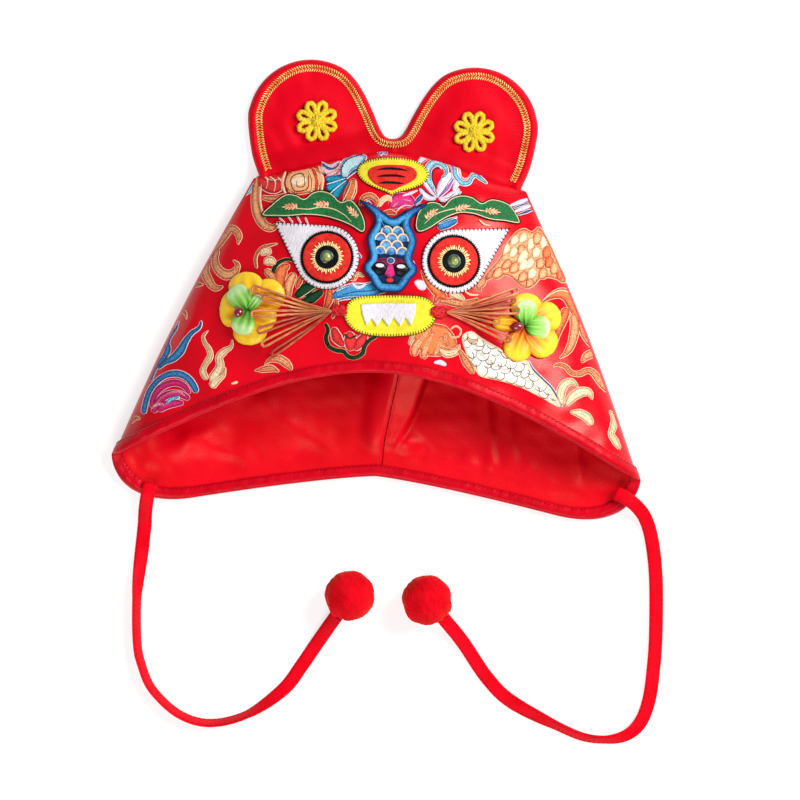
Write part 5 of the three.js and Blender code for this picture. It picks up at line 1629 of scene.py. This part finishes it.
SWIRLS = [
    ("gold", [(360, 208), (364, 200), (371, 198), (377, 203), (376, 210)], [3, 6, 7, 6, 2]),
    ("white", [(363, 209), (368, 203), (373, 207)], [1.2, 2.2, 1.2]),
    ("pale", [(379, 209), (383, 202), (389, 200), (393, 206)], [3, 6, 6, 2]),
    ("orange", [(383, 215), (390, 214), (397, 216)], [3, 6, 3]),
    ("magenta", [(390, 210), (398, 203), (407, 203), (416, 208)], [9, 16, 16, 6]),
    ("pink", [(393, 209), (401, 202), (411, 203)], [1.5, 2.4, 1.5]),
    ("pink", [(396, 214), (403, 208), (413, 208)], [1.2, 2, 1.2]),
    ("white", [(402, 198), (411, 195), (418, 192)], [2, 4, 2]),
    ("blue", [(413, 207), (419, 201), (424, 194)], [3, 6, 3]),
    ("lilac", [(412, 213), (417, 209), (421, 205)], [2, 4, 2]),
    ("white", [(436, 201), (427, 199), (419, 190)], [3, 8, 3]),
    ("navy", [(434, 198), (427, 195), (421, 189)], [0.8, 1.2, 0.8]),
    ("white", [(419, 168), (427, 184), (437, 200)], [4, 10, 5]),
    ("lilac", [(422, 174), (429, 187), (437, 199)], [2.0, 5.0, 2.0]),
    ("navy", [(425, 174), (432, 187), (438, 198)], [0.8, 1.2, 0.8]),
    ("white", [(437, 199), (443, 188), (451, 174)], [6, 13, 9]),
    ("magenta", [(436, 198), (441, 188), (448, 177)], [0.8, 1.6, 0.8]),
    ("lilac", [(438, 200), (447, 190), (454, 179)], [2.0, 5.0, 2.0]),
    ("navy", [(438, 199), (445, 189), (452, 178)], [0.8, 1.2, 0.8]),
    ("white", [(438, 201), (449, 199), (459, 190)], [3, 9, 5]),
    ("pink", [(440, 201), (449, 199), (457, 192)], [1.5, 3.0, 1.5]),
    ("cyan", [(440, 203), (451, 202), (461, 193)], [2, 3, 2]),
    ("navy", [(439, 204), (451, 204), (462, 195)], [0.8, 1.2, 0.8]),
    ("white", [(418, 165), (424, 158), (434, 154), (446, 158), (455, 168), (457, 181), (453, 193)],
     [4, 8, 9, 9, 9, 9, 4]),
    ("magenta", [(421, 166), (427, 161), (435, 158), (443, 161), (450, 169), (452, 181)],
     [0.8, 1.3, 1.4, 1.4, 1.3, 0.8]),
    ("lilac", [(447, 163), (454, 171), (455, 183)], [1.5, 3.4, 1.5]),
    ("cyan", [(420, 161), (427, 155), (437, 152), (448, 156), (457, 166)], [1.5, 2.4, 2.6, 2.4, 1.5]),
    ("cyan", [(434, 192), (428, 181), (428, 170), (435, 163), (444, 167), (446, 175), (441, 180)],
     [3, 7, 8, 8, 7, 5, 3]),
    ("blue", [(433, 188), (430, 180), (431, 171), (437, 167), (442, 171)], [1, 2.4, 2.6, 2.2, 1]),
    ("navy", [(436, 190), (432, 180), (434, 171), (440, 169)], [0.7, 1.1, 1.1, 0.7]),
    ("cyan", [(449, 161), (454, 167), (455, 176), (461, 184), (468, 184), (471, 179), (475, 176),
              (481, 180), (487, 185)], [3, 5.5, 6, 6, 6, 5.5, 5.5, 5, 2.5]),
    ("pink", [(453, 160), (458, 167), (459, 175), (463, 180), (468, 179), (472, 174), (478, 174)],
     [1.4, 2, 2, 2, 2, 2, 1.4]),
    ("white", [(507, 208), (519, 203), (532, 198)], [3, 5, 3]),
    ("blue", [(509, 211), (521, 206), (534, 201)], [2, 3, 2]),
    ("white", [(511, 214), (523, 209), (536, 204)], [3, 5, 3]),
    ("blue", [(514, 217), (525, 213), (538, 208)], [2, 4, 2]),
    ("pink", [(280, 219), (286, 225)], [2, 2.4]),
    ("pink", [(289, 218), (294, 225)], [2, 2.4]),
    ("pink", [(298, 218), (302, 226)], [2, 2.4]),
    ("pink", [(306, 219), (309, 227)], [2, 2.4]),
    ("blue", [(437, 230), (446, 226), (457, 222)], [8, 10, 6]),
    ("cyan", [(438, 226), (447, 222), (457, 219)], [2, 3, 2]),
    ("pale", [(478, 221), (484, 226), (490, 227)], [1.2, 2, 1.2]),
]
LEAF_BAND = [
    ("orange", [(541, 303), (550, 297), (560, 294), (569, 298), (575, 308), (580, 318), (585, 328)],
     [2, 7, 12, 16, 16, 12, 6]),
    ("pale", [(541, 302), (550, 295), (560, 291), (570, 294), (577, 304), (583, 316), (588, 328)],
     [1, 2, 2, 2, 2, 2, 1]),
    ("orange", [(566, 308), (562, 320), (557, 332), (555, 345)], [10, 10, 8, 2]),
    ("gold", [(572, 314), (574, 327), (571, 342), (566, 352), (558, 359)], [8, 11, 10, 8, 2]),
    ("gold", [(580, 322), (583, 334), (590, 345), (595, 352)], [8, 8, 7, 3]),
    ("gold", [(574, 303), (585, 314), (592, 328), (597, 343)], [5, 10, 10, 4]),
    ("cream", [(587, 318), (594, 330), (599, 345), (598, 360)], [3, 6, 7, 3]),
    ("gold", [(580, 363), (586, 356), (594, 354), (597, 360)], [3, 9, 10, 5]),
    ("gold", [(551, 367), (557, 365), (564, 367), (570, 373), (578, 374), (585, 371), (591, 372),
              (598, 380), (604, 388), (610, 394)], [2, 5, 6, 6, 7, 7, 8, 9, 7, 3]),
    ("cream", [(561, 405), (559, 394), (563, 385), (570, 382), (577, 387)], [5, 10, 10, 8, 2]),
    ("cream", [(564, 406), (571, 397), (580, 392), (588, 393), (591, 400)], [4, 10, 11, 9, 2]),
    ("cream", [(568, 412), (577, 413), (585, 417), (591, 425)], [3, 9, 10, 6]),
    ("cream", [(608, 410), (613, 418), (612, 427), (610, 434), (614, 441), (619, 449)],
     [2, 7, 8, 7, 8, 4]),
]
FAN = [
    ("orange", [(414, 336), (428, 340), (444, 342), (456, 346)], [14, 34, 32, 10]),
    ("gold", [(431, 328), (422, 339), (415, 349), (414, 357)], [5, 10, 11, 8]),
    ("gold", [(434, 332), (428, 343), (424, 353), (424, 360)], [5, 9, 10, 7]),
    ("gold", [(441, 336), (439, 346), (434, 356)], [5, 9, 8]),
    ("cream", [(418, 330), (413, 337), (409, 346)], [3, 6, 4]),
    ("gold", [(446, 333), (445, 341), (449, 347)], [6, 8, 5]),
    ("cream", [(438, 349), (446, 354), (455, 352), (459, 345)], [4, 9, 8, 2]),
    ("gold", [(441, 346), (447, 350), (454, 349)], [1.5, 3, 1.5]),
    ("cream", [(450, 330), (455, 327), (460, 331), (458, 337), (451, 338), (448, 333)], [2, 2, 2, 2, 2, 2]),
    ("white", [(433, 363), (440, 363), (446, 366)], [3, 6, 4]),
    ("gold", [(458, 350), (465, 362), (473, 374)], [4, 9, 6]),
    ("cream", [(466, 337), (470, 342), (477, 340)], [3, 7, 3]),
    ("orange", [(421, 272), (428, 283), (437, 293), (446, 300)], [3, 9, 11, 8]),
    ("orange", [(434, 305), (438, 297), (445, 293)], [4, 8, 4]),
    ("gold", [(438, 302), (450, 303), (464, 305), (478, 300)], [4, 9, 8, 3]),
    ("cream", [(448, 294), (456, 297), (464, 302)], [6, 9, 4]),
    ("pale", [(463, 292), (470, 296), (478, 296)], [1.2, 2.2, 1.2]),
    ("gold", [(484, 280), (478, 288), (480, 293)], [9, 9, 3]),
]
SCALE_BLOCK = [(482, 284), (491, 280), (500, 277), (508, 278), (514, 283), (520, 288), (527, 290),
               (534, 286), (540, 280), (548, 279), (556, 281), (562, 284), (566, 280), (559, 264),
               (551, 246), (544, 233), (538, 227), (531, 232), (524, 229), (516, 232), (509, 240),
               (503, 248), (499, 258), (491, 268), (484, 276)]
# Scales inside the block: colour, start, end and width
BLOCK_CELLS = [
    ("cream", (507, 244), (502, 256), 7), ("cream", (516, 236), (509, 246), 8), ("cream", (524, 233),
                                                                                 (518, 244), 8),
    ("cream", (514, 247), (508, 259), 8), ("gold", (521, 245), (517, 256), 8), ("cream", (525, 250),
                                                                                (516, 264), 9),
    ("gold", (509, 260), (500, 270), 8), ("gold", (516, 263), (508, 274), 9), ("cream", (524, 259),
                                                                               (518, 272), 9),
    ("cream", (531, 258), (524, 270), 8), ("gold", (524, 272), (517, 283), 9), ("cream", (532, 268),
                                                                                (527, 280), 9),
    ("gold", (530, 279), (525, 288), 8), ("cream", (530, 238), (527, 252), 8), ("gold", (537, 232),
                                                                                (533, 246), 9),
    ("cream", (542, 236), (541, 250), 9), ("cream", (536, 247), (532, 259), 9), ("orange", (546, 246),
                                                                                 (543, 260), 9),
    ("gold", (540, 258), (536, 270), 9), ("orange", (549, 256), (545, 269), 9), ("gold", (553, 262),
                                                                                 (551, 276), 9),
    ("gold", (543, 268), (538, 280), 9), ("orange", (559, 268), (557, 281), 8), ("gold", (500, 268),
                                                                                 (491, 279), 9),
]
RIM_SCALES = [(461, 338), (470, 332), (480, 338), (490, 344), (500, 350), (508, 358), (518, 361),
              (526, 361), (531, 371), (540, 380), (549, 389), (557, 402), (557, 407), (540, 398),
              (520, 388), (500, 381.5), (480, 377), (474, 370), (466, 356)]
RIM_LINE = [
    ("blue", [(527, 361), (532, 370), (541, 379), (550, 388), (556, 398), (561, 407)], [2, 3, 3, 3, 3, 2]),
    ("white", [(524, 362), (529, 372), (538, 381), (547, 390), (553, 400)], [1, 2, 2, 2, 1]),
]
MOTIFS = [FLAMES, HALF_MOON, SCROLLS, PEONY, WAVE, DRUM, SWIRLS, LEAF_BAND, FAN, RIM_LINE]
VEINED = [FLAMES, SCROLLS, LEAF_BAND, FAN]
VEINED_WIDTH = 6            # the narrowest gold or cream stroke that gets a vein
SCALE_SWELL = np.array([0.7, 1.25, 1.35, 1.1, 0.5])
RIM_ROWS, RIM_COLUMNS = 6, 12


def rim_scale(row, column):
    """One scale over the rim as an arc, in pixels, set a little unevenly in its row."""
    x = 462 + 9.5 * column + 4.7 * (row % 2) + 1.3 * np.sin(5.1 * row + 2.3 * column)
    y = 337 + 7.2 * row + 2.6 * column - 0.5 * (row % 2) + 1.1 * np.sin(3.7 * row + 1.9 * column)
    radius = 5.2 + 0.8 * np.sin(2.9 * row + 4.3 * column)
    angle = np.radians(np.linspace(-60, 130, 12) + 30 + 18 * np.sin(1.7 * row + 3.1 * column))
    return np.stack([x + radius * np.cos(angle), y + radius * np.sin(angle)], -1)


def make_brocade():
    bags = {name: Bag() for name in THREADS}
    for group in MOTIFS:
        for order, (color, points, widths) in enumerate(group):
            lift = 0.05 + 0.012 * order
            stroke(bags[color], plans(points), np.array(widths) * PIXEL, lift=lift, dome=0.28)
            if group in VEINED and color in ("cream", "gold") and max(widths) >= VEINED_WIDTH:
                line = catmull(plans(points), 30)[4:-5]
                stroke(bags["brown"], line, [0.12, 0.34, 0.34, 0.12], lift=lift + 0.24, dome=0.1, across=4)
    block = catmull(plans(SCALE_BLOCK), 150, closed=True)
    felt(bags["gold"], block, 0.0, 0.4, 1.6)
    for order, (color, start, end, width) in enumerate(BLOCK_CELLS):
        a, b = plan(*start), plan(*end)
        ahead = b - a
        beside = leftward(ahead) * 0.12
        lift = 0.42 + 0.03 * (order % 3)
        stroke(bags[color], [a, (a + b) / 2 + beside, b], SCALE_SWELL * width * PIXEL, lift=lift, dome=0.3)
    rim = catmull(plans(RIM_SCALES), 130, closed=True)
    felt(bags["ivory"], rim, 0.0, 0.35, 1.6)
    for row in range(RIM_ROWS):
        for column in range(RIM_COLUMNS):
            line = plans(rim_scale(row, column))
            line = line[inside(line, rim) & (nearest(line, rim)[0] > 0.3)]
            if len(line) > 4:
                stroke(bags["brown"], line, [0.2, 0.42, 0.42, 0.2], lift=0.42, dome=0.2, across=4)
    for color, bag in bags.items():
        bag.build(f"brocade_{color}", THREADS[color], "satin")


# Stage

FLOOR_SIZE = 12
FLOOR_GLOW = 0.66
WORLD_LIGHT = 0.25
LIGHTS = [
    ("key", (1.08, 0.62, 1.16), 0.85, 38),
    ("front", (-0.3, -1.3, 1.2), 0.9, 19),
]


def make_stage():
    bpy.ops.mesh.primitive_plane_add(size=FLOOR_SIZE)
    floor = bpy.context.object
    floor.name = "floor"
    paper = Finish("pale_floor", 0.9, 0.0)
    paper.set(paper.shader, {"Base Color": (0.4, 0.4, 0.4, 1), "Emission Color": (1, 1, 1, 1),
                             "Emission Strength": FLOOR_GLOW})
    floor.data.materials.append(paper.material)
    world = bpy.data.worlds.new("studio")
    world.use_nodes = True
    background = world.node_tree.nodes["Background"]
    background.inputs["Color"].default_value = (1, 1, 1, 1)
    background.inputs["Strength"].default_value = WORLD_LIGHT
    bpy.context.scene.world = world
    for name, place, size, power in LIGHTS:
        data = bpy.data.lights.new(name, "AREA")
        data.size = size
        data.energy = power
        light = bpy.data.objects.new(name, data)
        light.location = place
        light.rotation_euler = (-Vector(place)).to_track_quat("-Z", "Y").to_euler()
        bpy.context.scene.collection.objects.link(light)


camera()
make_tie("left", TIE_LEFT, LEAN_LEFT)
make_tie("right", TIE_RIGHT, LEAN_RIGHT)
make_body()
make_ears()
make_brocade()
make_forehead()
make_brows()
make_eyes()
make_nose()
make_mouth()
make_whiskers()
make_flowers()
make_stage()
bpy.context.scene.view_settings.view_transform = "Standard"
